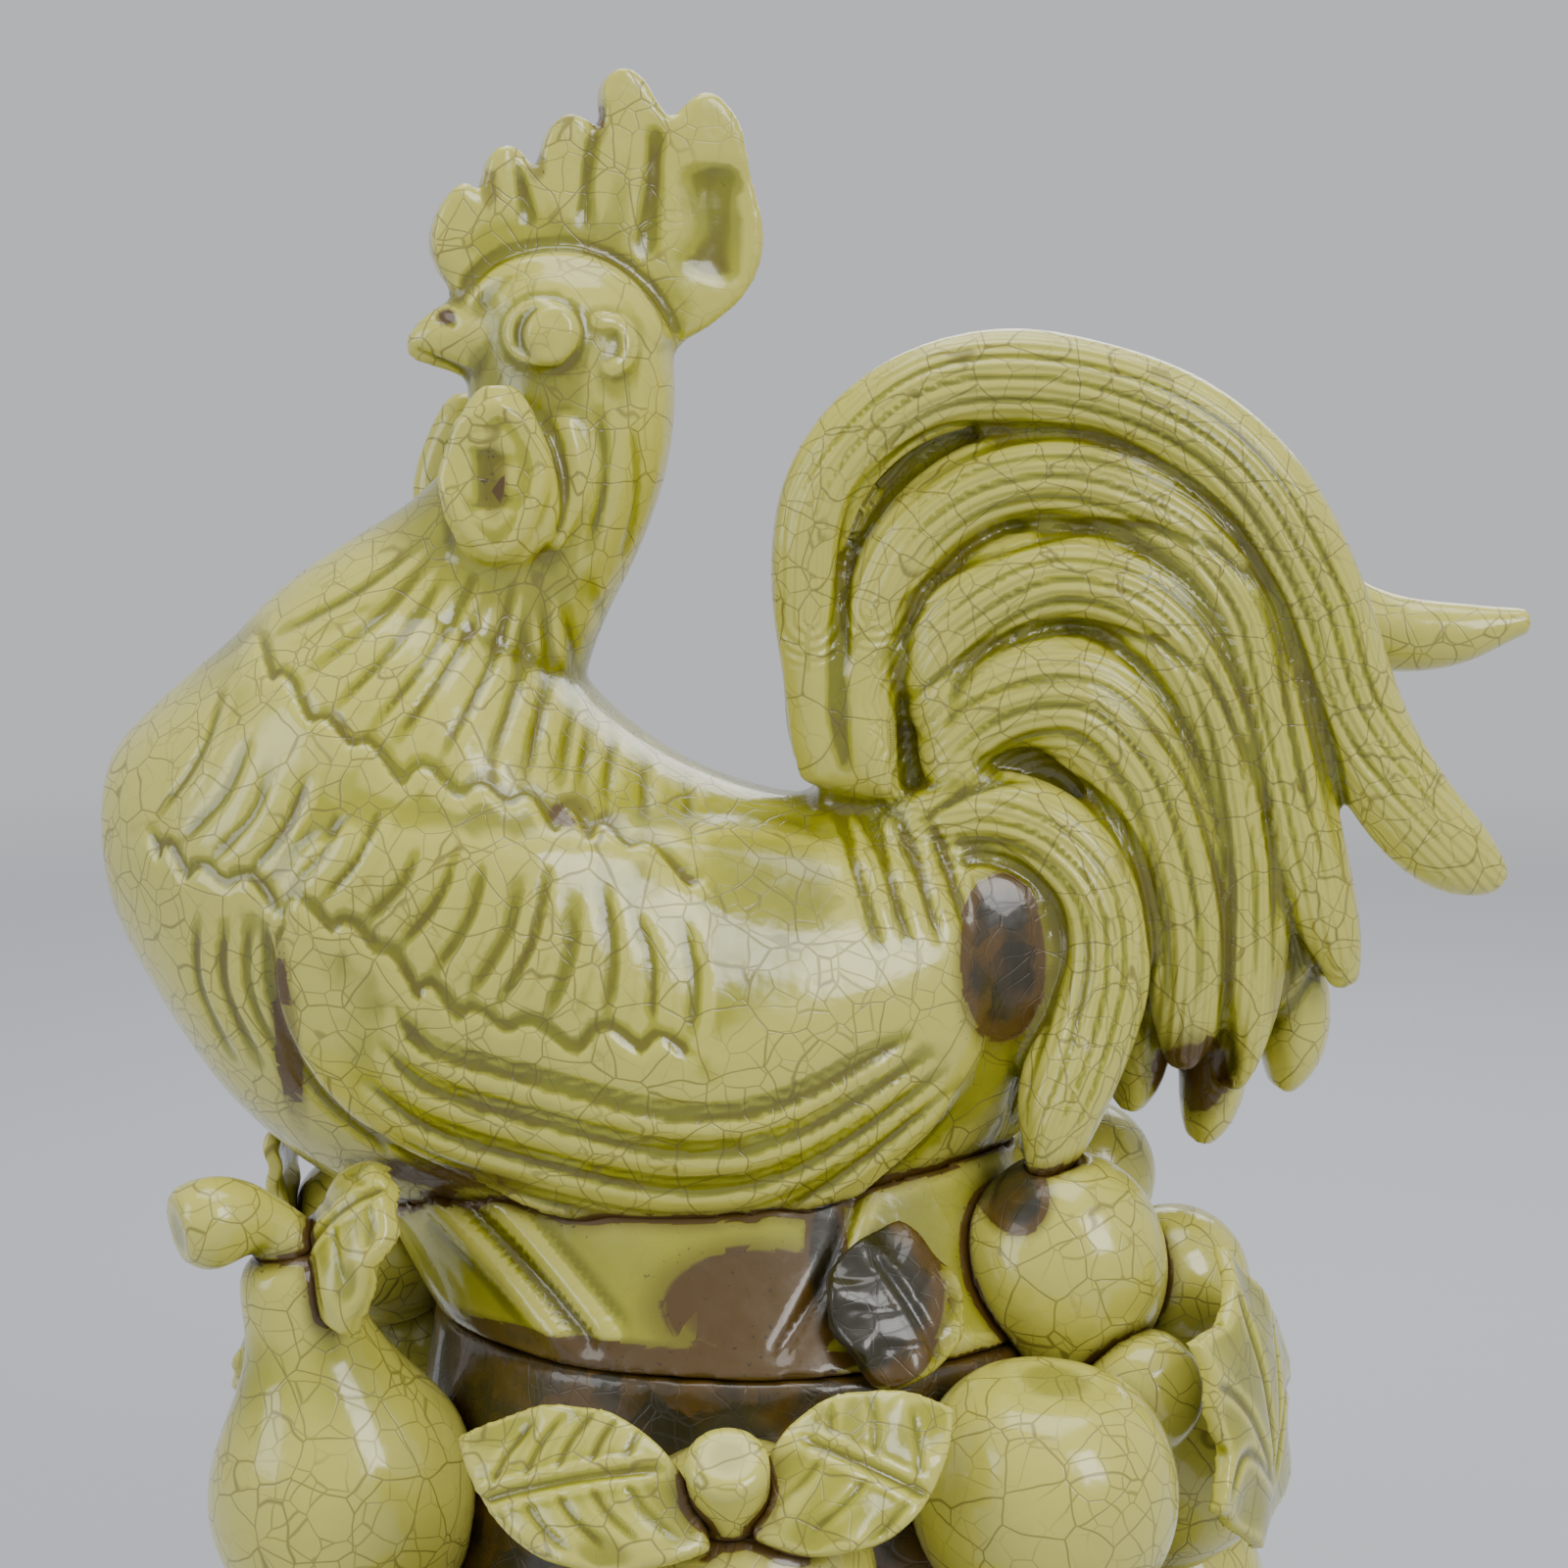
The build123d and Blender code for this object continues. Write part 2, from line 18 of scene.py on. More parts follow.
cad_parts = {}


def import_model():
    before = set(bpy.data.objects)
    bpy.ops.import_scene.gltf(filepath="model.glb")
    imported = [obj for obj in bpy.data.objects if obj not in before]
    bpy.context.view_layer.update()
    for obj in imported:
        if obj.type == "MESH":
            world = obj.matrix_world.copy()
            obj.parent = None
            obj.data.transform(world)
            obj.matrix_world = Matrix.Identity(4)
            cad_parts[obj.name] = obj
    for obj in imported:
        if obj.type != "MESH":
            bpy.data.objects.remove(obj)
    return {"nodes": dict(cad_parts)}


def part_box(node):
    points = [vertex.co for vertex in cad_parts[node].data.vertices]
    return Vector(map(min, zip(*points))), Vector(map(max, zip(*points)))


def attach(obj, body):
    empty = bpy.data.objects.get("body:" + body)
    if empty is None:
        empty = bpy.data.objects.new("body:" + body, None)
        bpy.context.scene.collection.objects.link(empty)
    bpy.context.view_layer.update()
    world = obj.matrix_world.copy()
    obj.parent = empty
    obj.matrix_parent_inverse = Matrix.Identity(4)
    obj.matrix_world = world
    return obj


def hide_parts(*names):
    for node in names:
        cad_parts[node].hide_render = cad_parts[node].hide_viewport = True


LOG = logging.getLogger("cockerel")
MM = 0.001
BODY = "root"
CLAY_GRAIN = 0.0018  # facet sizes in metres, from the coarsest piece to the finest
FOOT_GRAIN = 0.0016
FRUIT_GRAIN = 0.0013
SMALL_FRUIT_GRAIN = 0.001
LEAF_GRAIN = 0.0007

Points = np.ndarray
Path = list[tuple[float, float]]


# ---------------------------------------------------------------- small numeric helpers
def smoothstep(low: float, high: float, value: Points) -> Points:
    """Smooth ramp from 0 at low to 1 at high."""
    share = np.clip((value - low) / (high - low), 0.0, 1.0)
    return share * share * (3.0 - 2.0 * share)


def rounded_path(points: Path, steps: int = 6) -> Points:
    """Smooth line through drawn points.

    Args:
        points: Drawn points in millimetres.
        steps: Pieces that each span is divided into.

    Returns:
        The line's points, one row each.
    """
    drawn = np.asarray(points, float)
    if len(drawn) < 3:
        return drawn
    ends = np.vstack([2 * drawn[0] - drawn[1], drawn, 2 * drawn[-1] - drawn[-2]])
    line = []
    for i in range(1, len(ends) - 2):
        before, start, stop, after = ends[i - 1 : i + 3]
        for t in np.linspace(0, 1, steps, endpoint=False):
            line.append(
                0.5
                * (
                    2 * start
                    + (stop - before) * t
                    + (2 * before - 5 * start + 4 * stop - after) * t**2
                    + (3 * start - before - 3 * stop + after) * t**3
                )
            )
    line.append(drawn[-1])
    return np.asarray(line)


def beside(points: Path, offset: float) -> Path:
    """A drawn line moved sideways by a distance, to the left of its run where it is positive."""
    line = np.asarray(points, float)
    run = np.gradient(line, axis=0)
    run /= np.linalg.norm(run, axis=1, keepdims=True)
    normal = np.stack([-run[:, 1], run[:, 0]], axis=1)
    return [tuple(p) for p in line + offset * normal]


def measure_to_line(spots: Points, line: Points) -> tuple[Points, Points, Points]:
    """Distance from flat spots to a line.

    Args:
        spots: Flat points, one row each.
        line: The line's points, one row each.

    Returns:
        The distance, the signed distance (positive to the left of the run) and the place along the
        line from 0 to 1, for each spot.
    """
    lengths = np.linalg.norm(np.diff(line, axis=0), axis=1)
    starts = np.concatenate([[0.0], np.cumsum(lengths)])
    best = np.full(len(spots), np.inf)
    signed = np.zeros(len(spots))
    along = np.zeros(len(spots))
    for i, length in enumerate(lengths):
        run = (line[i + 1] - line[i]) / max(length, 1e-9)
        offset = spots - line[i]
        place = np.clip(offset @ run, 0.0, length)
        gap = offset - place[:, None] * run
        distance = np.hypot(gap[:, 0], gap[:, 1])
        nearer = distance < best
        side = run[0] * offset[:, 1] - run[1] * offset[:, 0]
        best = np.where(nearer, distance, best)
        signed = np.where(nearer, np.sign(side) * distance, signed)
        along = np.where(nearer, starts[i] + place, along)
    return best, signed, along / max(starts[-1], 1e-9)


def unevenness(spots: Points, size: float) -> Points:
    """Soft waves of about one size in metres, from -1 to 1, that a hand leaves in clay."""
    scaled = spots / size
    first = np.sin(scaled @ (1.7, 0.9, 0.6) + 1.3) * np.sin(scaled @ (-0.8, 1.5, 1.1) + 0.4)
    second = np.sin(scaled @ (0.5, -1.2, 1.9) + 2.2) * np.sin(scaled @ (1.4, 0.7, -1.3) + 5.1)
    return 0.6 * first + 0.4 * second


# ---------------------------------------------------------------- relief
class Cut(Enum):
    """How a modelling tool leaves a line of relief."""

    GROOVE = "groove"
    RIDGE = "ridge"
    EDGE = "edge"
    GOUGE = "gouge"


@dataclass(frozen=True)
class Stroke:
    """One line of relief, drawn on the flat.

    Args:
        points: Drawn points in millimetres.
        width: Half width in millimetres.
        depth: Depth or rise in millimetres.
        cut: How the tool leaves it.
        fade: Share of the line at each end over which it fades out.
    """

    points: Path
    width: float
    depth: float
    cut: Cut = Cut.GROOVE
    fade: float = 0.25

    def height(self, spots: Points) -> Points:
        """Rise of the surface in millimetres at flat spots in millimetres."""
        line = rounded_path(self.points)
        reach = 7 * self.width if self.cut is Cut.EDGE else 3.2 * self.width
        low, high = line.min(axis=0) - reach, line.max(axis=0) + reach
        near = np.all((spots >= low) & (spots <= high), axis=1)
        rise = np.zeros(len(spots))
        if not near.any():
            return rise
        distance, signed, along = measure_to_line(spots[near], line)
        ends = smoothstep(0, self.fade, along) * smoothstep(0, self.fade, 1 - along) if self.fade else 1.0
        bell = np.exp(-((distance / self.width) ** 2))
        if self.cut is Cut.GROOVE:
            shape = -bell
        elif self.cut is Cut.RIDGE:
            shape = bell
        elif self.cut is Cut.GOUGE:
            shape = -bell + 0.45 * np.exp(-(((signed - 1.7 * self.width) / self.width) ** 2))
        else:
            behind = np.exp(-np.maximum(-signed, 0) / (2.6 * self.width))
            shape = behind * smoothstep(self.width * 0.6, -self.width * 0.6, signed) - 0.55 * np.exp(
                -(((signed - 0.8 * self.width) / self.width) ** 2)
            )
        rise[near] = self.depth * shape * ends
        return rise


def scallops(path: Path, count: int, drop: float, width: float, depth: float) -> Stroke:
    """Edge of a tier of feathers, which hang in pointed tips below a drawn line.

    Args:
        path: Drawn line through the tops of the gaps between the tips.
        count: How many tips.
        drop: How far the tips hang below the line, in millimetres.
        width: Half width of the edge in millimetres.
        depth: Height of the edge in millimetres.

    Returns:
        The edge as one stroke.
    """
    line = rounded_path(path)
    points = []
    for i in range(2 * count + 1):
        place = i / (2 * count) * (len(line) - 1)
        low = int(min(place, len(line) - 2))
        at = line[low] + (line[low + 1] - line[low]) * (place - low)
        hang = drop * (0.75 + 0.35 * math.sin(2.1 * i)) if i % 2 else 0.0
        points.append((at[0] + 0.25 * hang, at[1] - hang))
    return Stroke(points, width, depth, Cut.EDGE, 0.04)


def fan(start: Path, stop: Path, count: int, width: float, depth: float, bow: float = 0.0) -> list[Stroke]:
    """Long tool marks that run from one drawn line to another and part the feathers between them.

    Args:
        start: Drawn line that the marks start from.
        stop: Drawn line that they end on.
        count: How many marks.
        width: Half width of a mark in millimetres.
        depth: Depth of a mark in millimetres.
        bow: How far the middle of a mark is drawn to its left, as a share of its length.

    Returns:
        The marks.
    """
    first, last = rounded_path(start), rounded_path(stop)
    marks = []
    for i in range(count):
        share = (i + 0.5) / count
        top = first[round(share * (len(first) - 1))]
        end = last[round(share * (len(last) - 1))]
        run = end - top
        middle = (top + end) / 2 + bow * np.array([-run[1], run[0]])
        reach = 0.82 + 0.18 * math.sin(2.7 * i + 0.4)
        points = [tuple(top + (1 - reach) * 0.5 * run), tuple(middle), tuple(end)]
        marks.append(Stroke(points, width * (0.85 + 0.3 * math.sin(1.9 * i) ** 2), depth, Cut.GOUGE, 0.3))
    return marks


# ---------------------------------------------------------------- clay pieces
@dataclass
class Clay:
    """A piece of clay as a mesh object, with the steps that shape it.

    Args:
        name: Name of the visual piece.
        nodes: The CAD nodes that it stands for.
    """

    name: str
    nodes: list[str]
    piece: bpy.types.Object = field(default=None, repr=False)

    def from_nodes(self) -> "Clay":
        """Starts from merged copies of the CAD nodes' meshes."""
        bpy.ops.object.select_all(action="DESELECT")
        copies = []
        for node in self.nodes:
            source = bpy.data.objects[node]
            copy = bpy.data.objects.new(f"{self.name}_{node}", source.data.copy())
            bpy.context.scene.collection.objects.link(copy)
            copy.select_set(True)
            copies.append(copy)
        bpy.context.view_layer.objects.active = copies[0]
        if len(copies) > 1:
            bpy.ops.object.join()
        self.piece = bpy.context.view_layer.objects.active
        self.piece.name = self.name
        self.piece.data.name = self.name
        self.piece.data.materials.clear()
        bpy.ops.object.mode_set(mode="EDIT")
        bpy.ops.mesh.select_all(action="SELECT")
        bpy.ops.mesh.remove_doubles(threshold=1e-6)
        bpy.ops.object.mode_set(mode="OBJECT")
        return self

    def hold(self) -> None:
        """Makes this piece the only selected and active one."""
        bpy.ops.object.select_all(action="DESELECT")
        self.piece.select_set(True)
        bpy.context.view_layer.objects.active = self.piece

    def plug(self, at: Vector, radius: float, depth: float) -> "Clay":
        """Joins a disc of clay to the piece, which closes a hole in its hidden side."""
        bpy.ops.mesh.primitive_cylinder_add(vertices=48, radius=radius, depth=depth, location=at)
        disc = bpy.context.object
        bpy.ops.object.transform_apply(location=True)
        bpy.ops.object.select_all(action="DESELECT")
        disc.select_set(True)
        self.piece.select_set(True)
        bpy.context.view_layer.objects.active = self.piece
        bpy.ops.object.join()
        return self

    def corners(self) -> tuple[Points, Points]:
        """Lowest and highest corner of the piece."""
        spots = self.spots()
        return spots.min(axis=0), spots.max(axis=0)

    def knead(self, grain: float, rounds: int) -> "Clay":
        """Turns the piece into one even skin and rounds its creases.

        Args:
            grain: Size of the skin's facets in metres.
            rounds: How many times it is smoothed.

        Returns:
            This piece.
        """
        self.hold()
        skin = self.piece.modifiers.new("skin", "REMESH")
        skin.mode = "VOXEL"
        skin.voxel_size = grain
        skin.use_smooth_shade = True
        bpy.ops.object.modifier_apply(modifier=skin.name)
        if rounds:
            soften = self.piece.modifiers.new("soften", "SMOOTH")
            soften.factor = 0.5
            soften.iterations = rounds
            bpy.ops.object.modifier_apply(modifier=soften.name)
        return self

    def keep_main_island(self) -> "Clay":
        """Removes every loose shell except the largest, such as the wall of a sealed cavity."""
        self.hold()
        bpy.ops.object.mode_set(mode="EDIT")
        bpy.ops.mesh.select_all(action="SELECT")
        bpy.ops.mesh.separate(type="LOOSE")
        bpy.ops.object.mode_set(mode="OBJECT")
        shells = sorted(bpy.context.selected_objects, key=lambda o: o.dimensions.length)
        for shell in shells[:-1]:
            bpy.data.objects.remove(shell)
        self.piece = shells[-1]
        self.piece.name = self.name
        return self

    def spots(self) -> Points:
        """The piece's points, one row each."""
        mesh = self.piece.data
        flat = np.empty(3 * len(mesh.vertices), np.float32)
        mesh.vertices.foreach_get("co", flat)
        return flat.reshape(-1, 3).astype(float)

    def normals(self) -> Points:
        """The outward directions at the piece's points."""
        mesh = self.piece.data
        flat = np.empty(3 * len(mesh.vertices), np.float32)
        mesh.vertex_normals.foreach_get("vector", flat)
        return flat.reshape(-1, 3).astype(float)

    def move_spots(self, spots: Points) -> None:
        """Puts the piece's points somewhere else."""
        self.piece.data.vertices.foreach_set("co", spots.astype(np.float32).ravel())
        self.piece.data.update()

    def push_out(self, rise: Points) -> "Clay":
        """Moves each point outwards by its rise in metres."""
        self.move_spots(self.spots() + self.normals() * rise[:, None])
        return self

    def soften(self, mask: Points, rounds: int) -> "Clay":
        """Smooths the piece where the mask is 1 and leaves it where the mask is 0."""
        spots = self.spots()
        self.move_spots(spots + (self.ring_average(spots, rounds) - spots) * mask[:, None])
        return self

    def thin_out(self, most: int) -> "Clay":
        """Merges facets where the piece is flattest until it has no more triangles than a limit."""
        triangles = sum(len(p.vertices) - 2 for p in self.piece.data.polygons)
        if triangles > most:
            self.hold()
            merge = self.piece.modifiers.new("merge", "DECIMATE")
            merge.ratio = most / triangles
            bpy.ops.object.modifier_apply(modifier=merge.name)
        return self

    def ring_average(self, values: Points, rounds: int) -> Points:
        """Evens out values over neighbouring points.

        Args:
            values: One row per point.
            rounds: How many times.

        Returns:
            The evened values.
        """
        mesh = self.piece.data
        pairs = np.empty(2 * len(mesh.edges), np.int32)
        mesh.edges.foreach_get("vertices", pairs)
        first, second = pairs.reshape(-1, 2).T
        total = len(mesh.vertices)
        count = np.maximum(np.bincount(first, minlength=total) + np.bincount(second, minlength=total), 1)
        table = np.atleast_2d(values.T).T.astype(float)
        for _ in range(rounds):
            for k in range(table.shape[1]):
                column = table[:, k]
                summed = np.bincount(first, column[second], total) + np.bincount(second, column[first], total)
                table[:, k] = 0.35 * column + 0.65 * summed / count
        return table if values.ndim > 1 else table[:, 0]

    def hollowness(self, rounds: int) -> Points:
        """How far each point lies below its surroundings, in metres, negative on a crest."""
        spots = self.spots()
        return np.einsum("ij,ij->i", self.ring_average(spots, rounds) - spots, self.normals())

    def mark(self, name: str, values: Points) -> None:
        """Stores one value per point for the glaze to read."""
        mesh = self.piece.data
        layer = mesh.attributes.get(name) or mesh.attributes.new(name, "FLOAT", "POINT")
        layer.data.foreach_set("value", values.astype(np.float32))

    def finish(self, glaze: bpy.types.Material) -> bpy.types.Object:
        """Glazes the piece, fixes it to its body and puts it in place of its CAD nodes."""
        self.piece.data.materials.clear()
        self.piece.data.materials.append(glaze)
        self.hold()
        bpy.ops.object.shade_smooth()
        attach(self.piece, BODY)
        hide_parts(*self.nodes)
        LOG.info("%s: %d points", self.name, len(self.piece.data.vertices))
        return self.piece


# ---------------------------------------------------------------- the bird
@dataclass
class Bird:
    """The cockerel: body, wings, head, comb, wattles and tail, modelled as one skin of clay.

    Args:
        grain: Size of the skin's facets in metres.
        most_triangles: Limit for the skin.
        vent_x: Place along the bird of the vent under the belly, in metres.
        plug_radius: Radius of the disc that closes the vent in the skin.
        plug_depth: Depth of that disc.
        seam_rounds: How many times the luted seams are smoothed.
        waves: Height of the clay's soft waves in millimetres.
        wave_size: Size of those waves.
    """

    grain: float = 0.00118
    most_triangles: int = 192_000
    vent_x: float = -18 * MM
    plug_radius: float = 19 * MM
    plug_depth: float = 9 * MM
    seam_rounds: int = 40
    waves: float = 0.35
    wave_size: float = 16 * MM

    BODY_NODES = ("body", "left_wing", "right_wing")
    HEAD_NODES = ("comb", "left_wattle", "right_wattle", "left_eye", "right_eye")
    SICKLES = tuple(f"{side}_sickle_{n}" for side in ("left", "right") for n in (1, 2, 3, 4, 5))
    TAIL_NODES = ("tail_core", *SICKLES, "under_tail_1", "under_tail_2", "under_tail_3")

    # Lines between the bands of the tail, from the outside in.
    TAIL_GAPS = (
        ((18, 128), (18, 155), (23, 167), (36, 176), (50, 177)),
        ((23, 157), (37, 169), (52, 175), (68, 175), (89, 163), (99, 150), (107, 134), (120, 97)),
        ((25, 140), (39, 149), (52, 154), (68, 158), (83, 156), (95, 150), (102, 140), (110, 96)),
        ((27, 120), (37, 129), (49, 135), (62, 138), (76, 136), (87, 130), (94, 120), (100, 106), (103, 88)),
        ((30, 98), (41, 105), (54, 109), (64, 107), (73, 99), (78, 88), (80, 68)),
        ((34, 91), (47, 92), (58, 86), (61, 76), (58, 64), (53, 47), (52, 34)),
    )
    # Middle lines of the bands, and half their width.
    TAIL_BANDS = (
        (((11, 140), (14, 164), (34, 184), (64, 185), (92, 172), (110, 146), (121, 118), (149, 88)), 8),
        (((24, 142), (31, 155), (45, 165), (64, 167), (84, 159), (97, 145), (103, 127), (117, 72)), 8),
        (((31, 124), (40, 137), (58, 147), (77, 143), (91, 126), (98, 98), (99, 70), (97, 48)), 8),
        (((34, 108), (49, 120), (65, 122), (77, 111), (84, 95), (88, 76), (87, 52)), 11),
        (((33, 98), (46, 100), (58, 96), (67, 86), (69, 72), (65, 56), (59, 42), (56, 32)), 7),
    )
    NAPE = ((-62, 160), (-50, 152), (-38, 150), (-28, 154))
    HACKLE = ((-99, 138), (-84, 123), (-69, 115), (-51, 109), (-37, 105), (-26, 100), (-8, 92))
    BREAST = ((-119, 101), (-108, 93), (-91, 90), (-74, 83), (-61, 73), (-46, 66), (-24, 64), (-9, 60))
    WING_FRONT = ((-86, 88), (-91, 78), (-91, 67), (-87, 55), (-80, 45), (-68, 37))
    BROW = ((-58, 200), (-51, 207), (-43, 210), (-35, 210), (-28, 207), (-22, 201), (-17, 193))

    def drawn(self, spots: Points) -> tuple[Points, Points]:
        """Places of points on the bird's side drawing.

        Args:
            spots: Points in metres.

        Returns:
            Their drawn x and height, one row each, and how far out they are, all in millimetres.
        """
        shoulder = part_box("core_mound")[1].z
        return np.stack([spots[:, 0], spots[:, 2] - shoulder], axis=1) / MM, spots[:, 1] / MM

    def tail_strokes(self) -> list[Stroke]:
        """Gaps between the tail's bands, and the tool marks along each band."""
        strokes = [Stroke(list(gap), 1.3, 1.0, Cut.GROOVE, 0.12) for gap in self.TAIL_GAPS]
        for middle, half_width in self.TAIL_BANDS:
            for share in (-0.5, 0.05, 0.52):
                strokes.append(Stroke(beside(list(middle), share * half_width), 1.0, 0.62, Cut.GROOVE, 0.2))
        return strokes

    def body_strokes(self) -> list[Stroke]:
        """Tiers of hackle, breast and wing feathers."""
        nape, hackle, breast = list(self.NAPE), list(self.HACKLE), list(self.BREAST)
        strokes = [
            scallops(hackle, 10, 4.5, 1.7, 0.8),
            scallops(breast, 12, 4.5, 1.7, 0.9),
            *fan(nape, hackle, 13, 1.3, 0.5, 0.05),
            *fan(beside(hackle, -7), breast, 15, 1.3, 0.5, 0.08),
            Stroke(list(self.WING_FRONT), 1.6, 1.5, Cut.GROOVE, 0.1),
        ]
        for lift, reach in ((0, 1.0), (8.5, 0.98), (17, 0.92), (25, 0.82)):
            long_feather = [(-80 + 0.5 * lift, 46 + lift), (-62, 35 + lift), (-38, 28 + lift)]
            long_feather += [(-12, 24 + lift * 0.9), (10 * reach, 29 + lift * 0.8)]
            long_feather.append((40 * reach, 50 + lift * 0.45))
            strokes.append(Stroke(long_feather, 1.5, 1.25, Cut.EDGE, 0.1))
            strokes.append(Stroke(beside(long_feather, 3.6), 0.9, 0.5, Cut.GROOVE, 0.2))
        for x in (-106, -100, -95):
            strokes.append(Stroke([(x, 86), (x - 1, 70), (x + 6, 52)], 1.3, 0.8, Cut.GOUGE, 0.3))
        for x in (20, 26, 32, 38):
            strokes.append(Stroke([(x - 4, 103), (x, 92), (x + 5, 76)], 1.2, 0.9, Cut.GOUGE, 0.3))
        return strokes

    def head_strokes(self) -> list[Stroke]:
        """Brow, ear, mouth, nostril, eye ring, wattle rims and the folds of the neck."""
        turns = np.linspace(0, 2 * math.pi, 13)
        ring = [(-41.6 + 6.2 * math.cos(t), 195.5 + 5.4 * math.sin(t)) for t in turns]
        wattle = [(-49, 181), (-58, 176), (-60, 168), (-55, 157), (-50, 153), (-45, 157), (-41, 168)]
        wattle += [(-44, 177), (-49, 181)]
        return [
            Stroke(list(self.BROW), 1.5, 1.2, Cut.RIDGE, 0.1),
            Stroke(beside(list(self.BROW), 3.4), 1.3, 0.9, Cut.GROOVE, 0.1),
            Stroke([(-33, 198), (-26, 197), (-25, 191), (-30, 187)], 1.4, 1.0, Cut.RIDGE, 0.2),
            Stroke([(-68, 193), (-62, 190), (-56, 187)], 1.1, 1.1, Cut.GROOVE, 0.1),
            Stroke([(-62, 199), (-60, 198)], 1.2, 0.9, Cut.GROOVE, 0.0),
            Stroke(ring, 1.2, 1.0, Cut.RIDGE, 0.0),
            Stroke(wattle, 1.5, 1.1, Cut.RIDGE, 0.0),
            Stroke([(-50, 174), (-51, 168), (-50, 160)], 3.6, 1.4, Cut.GROOVE, 0.2),
            Stroke([(-38, 181), (-35, 172), (-35, 164), (-40, 152)], 1.8, 1.3, Cut.RIDGE, 0.15),
            Stroke([(-31, 184), (-29, 168), (-33, 150)], 1.5, 0.8, Cut.GROOVE, 0.3),
            Stroke([(-24, 180), (-23, 164), (-27, 146)], 1.5, 0.7, Cut.GROOVE, 0.3),
            Stroke([(-47, 236), (-46, 226), (-44, 216)], 1.6, 0.8, Cut.GROOVE, 0.2),
            Stroke([(-31, 240), (-33, 228), (-34, 216)], 1.6, 0.8, Cut.GROOVE, 0.2),
            Stroke([(-19, 240), (-20, 226), (-22, 210)], 2.2, 1.1, Cut.GROOVE, 0.2),
            Stroke([(-7, 232), (-7, 218), (-10, 206)], 5.0, 1.3, Cut.GROOVE, 0.2),
        ]

    def seams(self) -> list[Stroke]:
        """Lines where the clay pieces were luted together and wiped smooth."""
        neck = [(-104, 136), (-88, 122), (-66, 112), (-44, 108), (-24, 114), (-12, 118)]
        wing = [(-91, 90), (-60, 102), (-20, 102), (14, 97), (38, 86), (47, 67), (40, 50)]
        return [
            Stroke(neck, 12, 1, Cut.RIDGE, 0.0),
            Stroke([(-88, 142), (-62, 150), (-30, 140), (-6, 108)], 9, 1, Cut.RIDGE, 0.0),
            Stroke([(8, 108), (20, 104), (34, 90), (50, 78), (66, 62)], 7, 1, Cut.RIDGE, 0.0),
            Stroke(wing, 6, 1, Cut.RIDGE, 0.0),
            Stroke([(-60, 206), (-40, 213), (-18, 200), (-14, 190)], 3.5, 0.8, Cut.RIDGE, 0.0),
        ]

    def build(self) -> Clay:
        """Models the bird.

        Returns:
            The bird's clay.
        """
        bird = Clay("Cockerel", [*self.BODY_NODES, *self.HEAD_NODES, *self.TAIL_NODES])
        bird.from_nodes()
        vent = Vector((self.vent_x, 0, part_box("body")[0].z + 5 * MM))
        bird.plug(vent, self.plug_radius, self.plug_depth)
        bird.knead(self.grain, 2)
        bird.keep_main_island()
        flat, _ = self.drawn(bird.spots())
        mask = sum(seam.height(flat) for seam in self.seams())
        bird.soften(np.clip(mask, 0, 1), self.seam_rounds)

        normals = bird.ring_average(bird.normals(), 6)
        normals /= np.linalg.norm(normals, axis=1, keepdims=True)
        flat, out = self.drawn(bird.spots())
        side_on = smoothstep(0.12, 0.5, np.abs(normals[:, 1]))
        tail = smoothstep(9, 13, np.abs(out)) * smoothstep(4, 12, flat[:, 0])
        head = smoothstep(146, 152, flat[:, 1]) * smoothstep(4, -2, flat[:, 0])
        torso = smoothstep(48, 40, flat[:, 0]) * smoothstep(158, 150, flat[:, 1])
        rise = np.zeros(len(flat))
        for strokes, place in (
            (self.tail_strokes(), tail),
            (self.body_strokes(), torso),
            (self.head_strokes(), head),
        ):
            rise += sum(stroke.height(flat) for stroke in strokes) * place
        rise *= side_on
        rise += self.waves * unevenness(bird.spots(), self.wave_size)
        bird.move_spots(bird.spots() + normals * rise[:, None] * MM)
        bird.thin_out(self.most_triangles)

        flat, out = self.drawn(bird.spots())
        nearest = np.full(len(flat), 60.0)
        lane = np.zeros(len(flat))
        for middle, half_width in self.TAIL_BANDS:
            distance, signed, _ = measure_to_line(flat, rounded_path(list(middle)))
            closer = distance / half_width < nearest
            nearest = np.where(closer, distance / half_width, nearest)
            lane = np.where(closer, signed, lane)
        bird.mark("lane", lane)
        bird.mark("barbs", smoothstep(1.4, 0.9, nearest) * smoothstep(9, 13, np.abs(out)))
        return bird


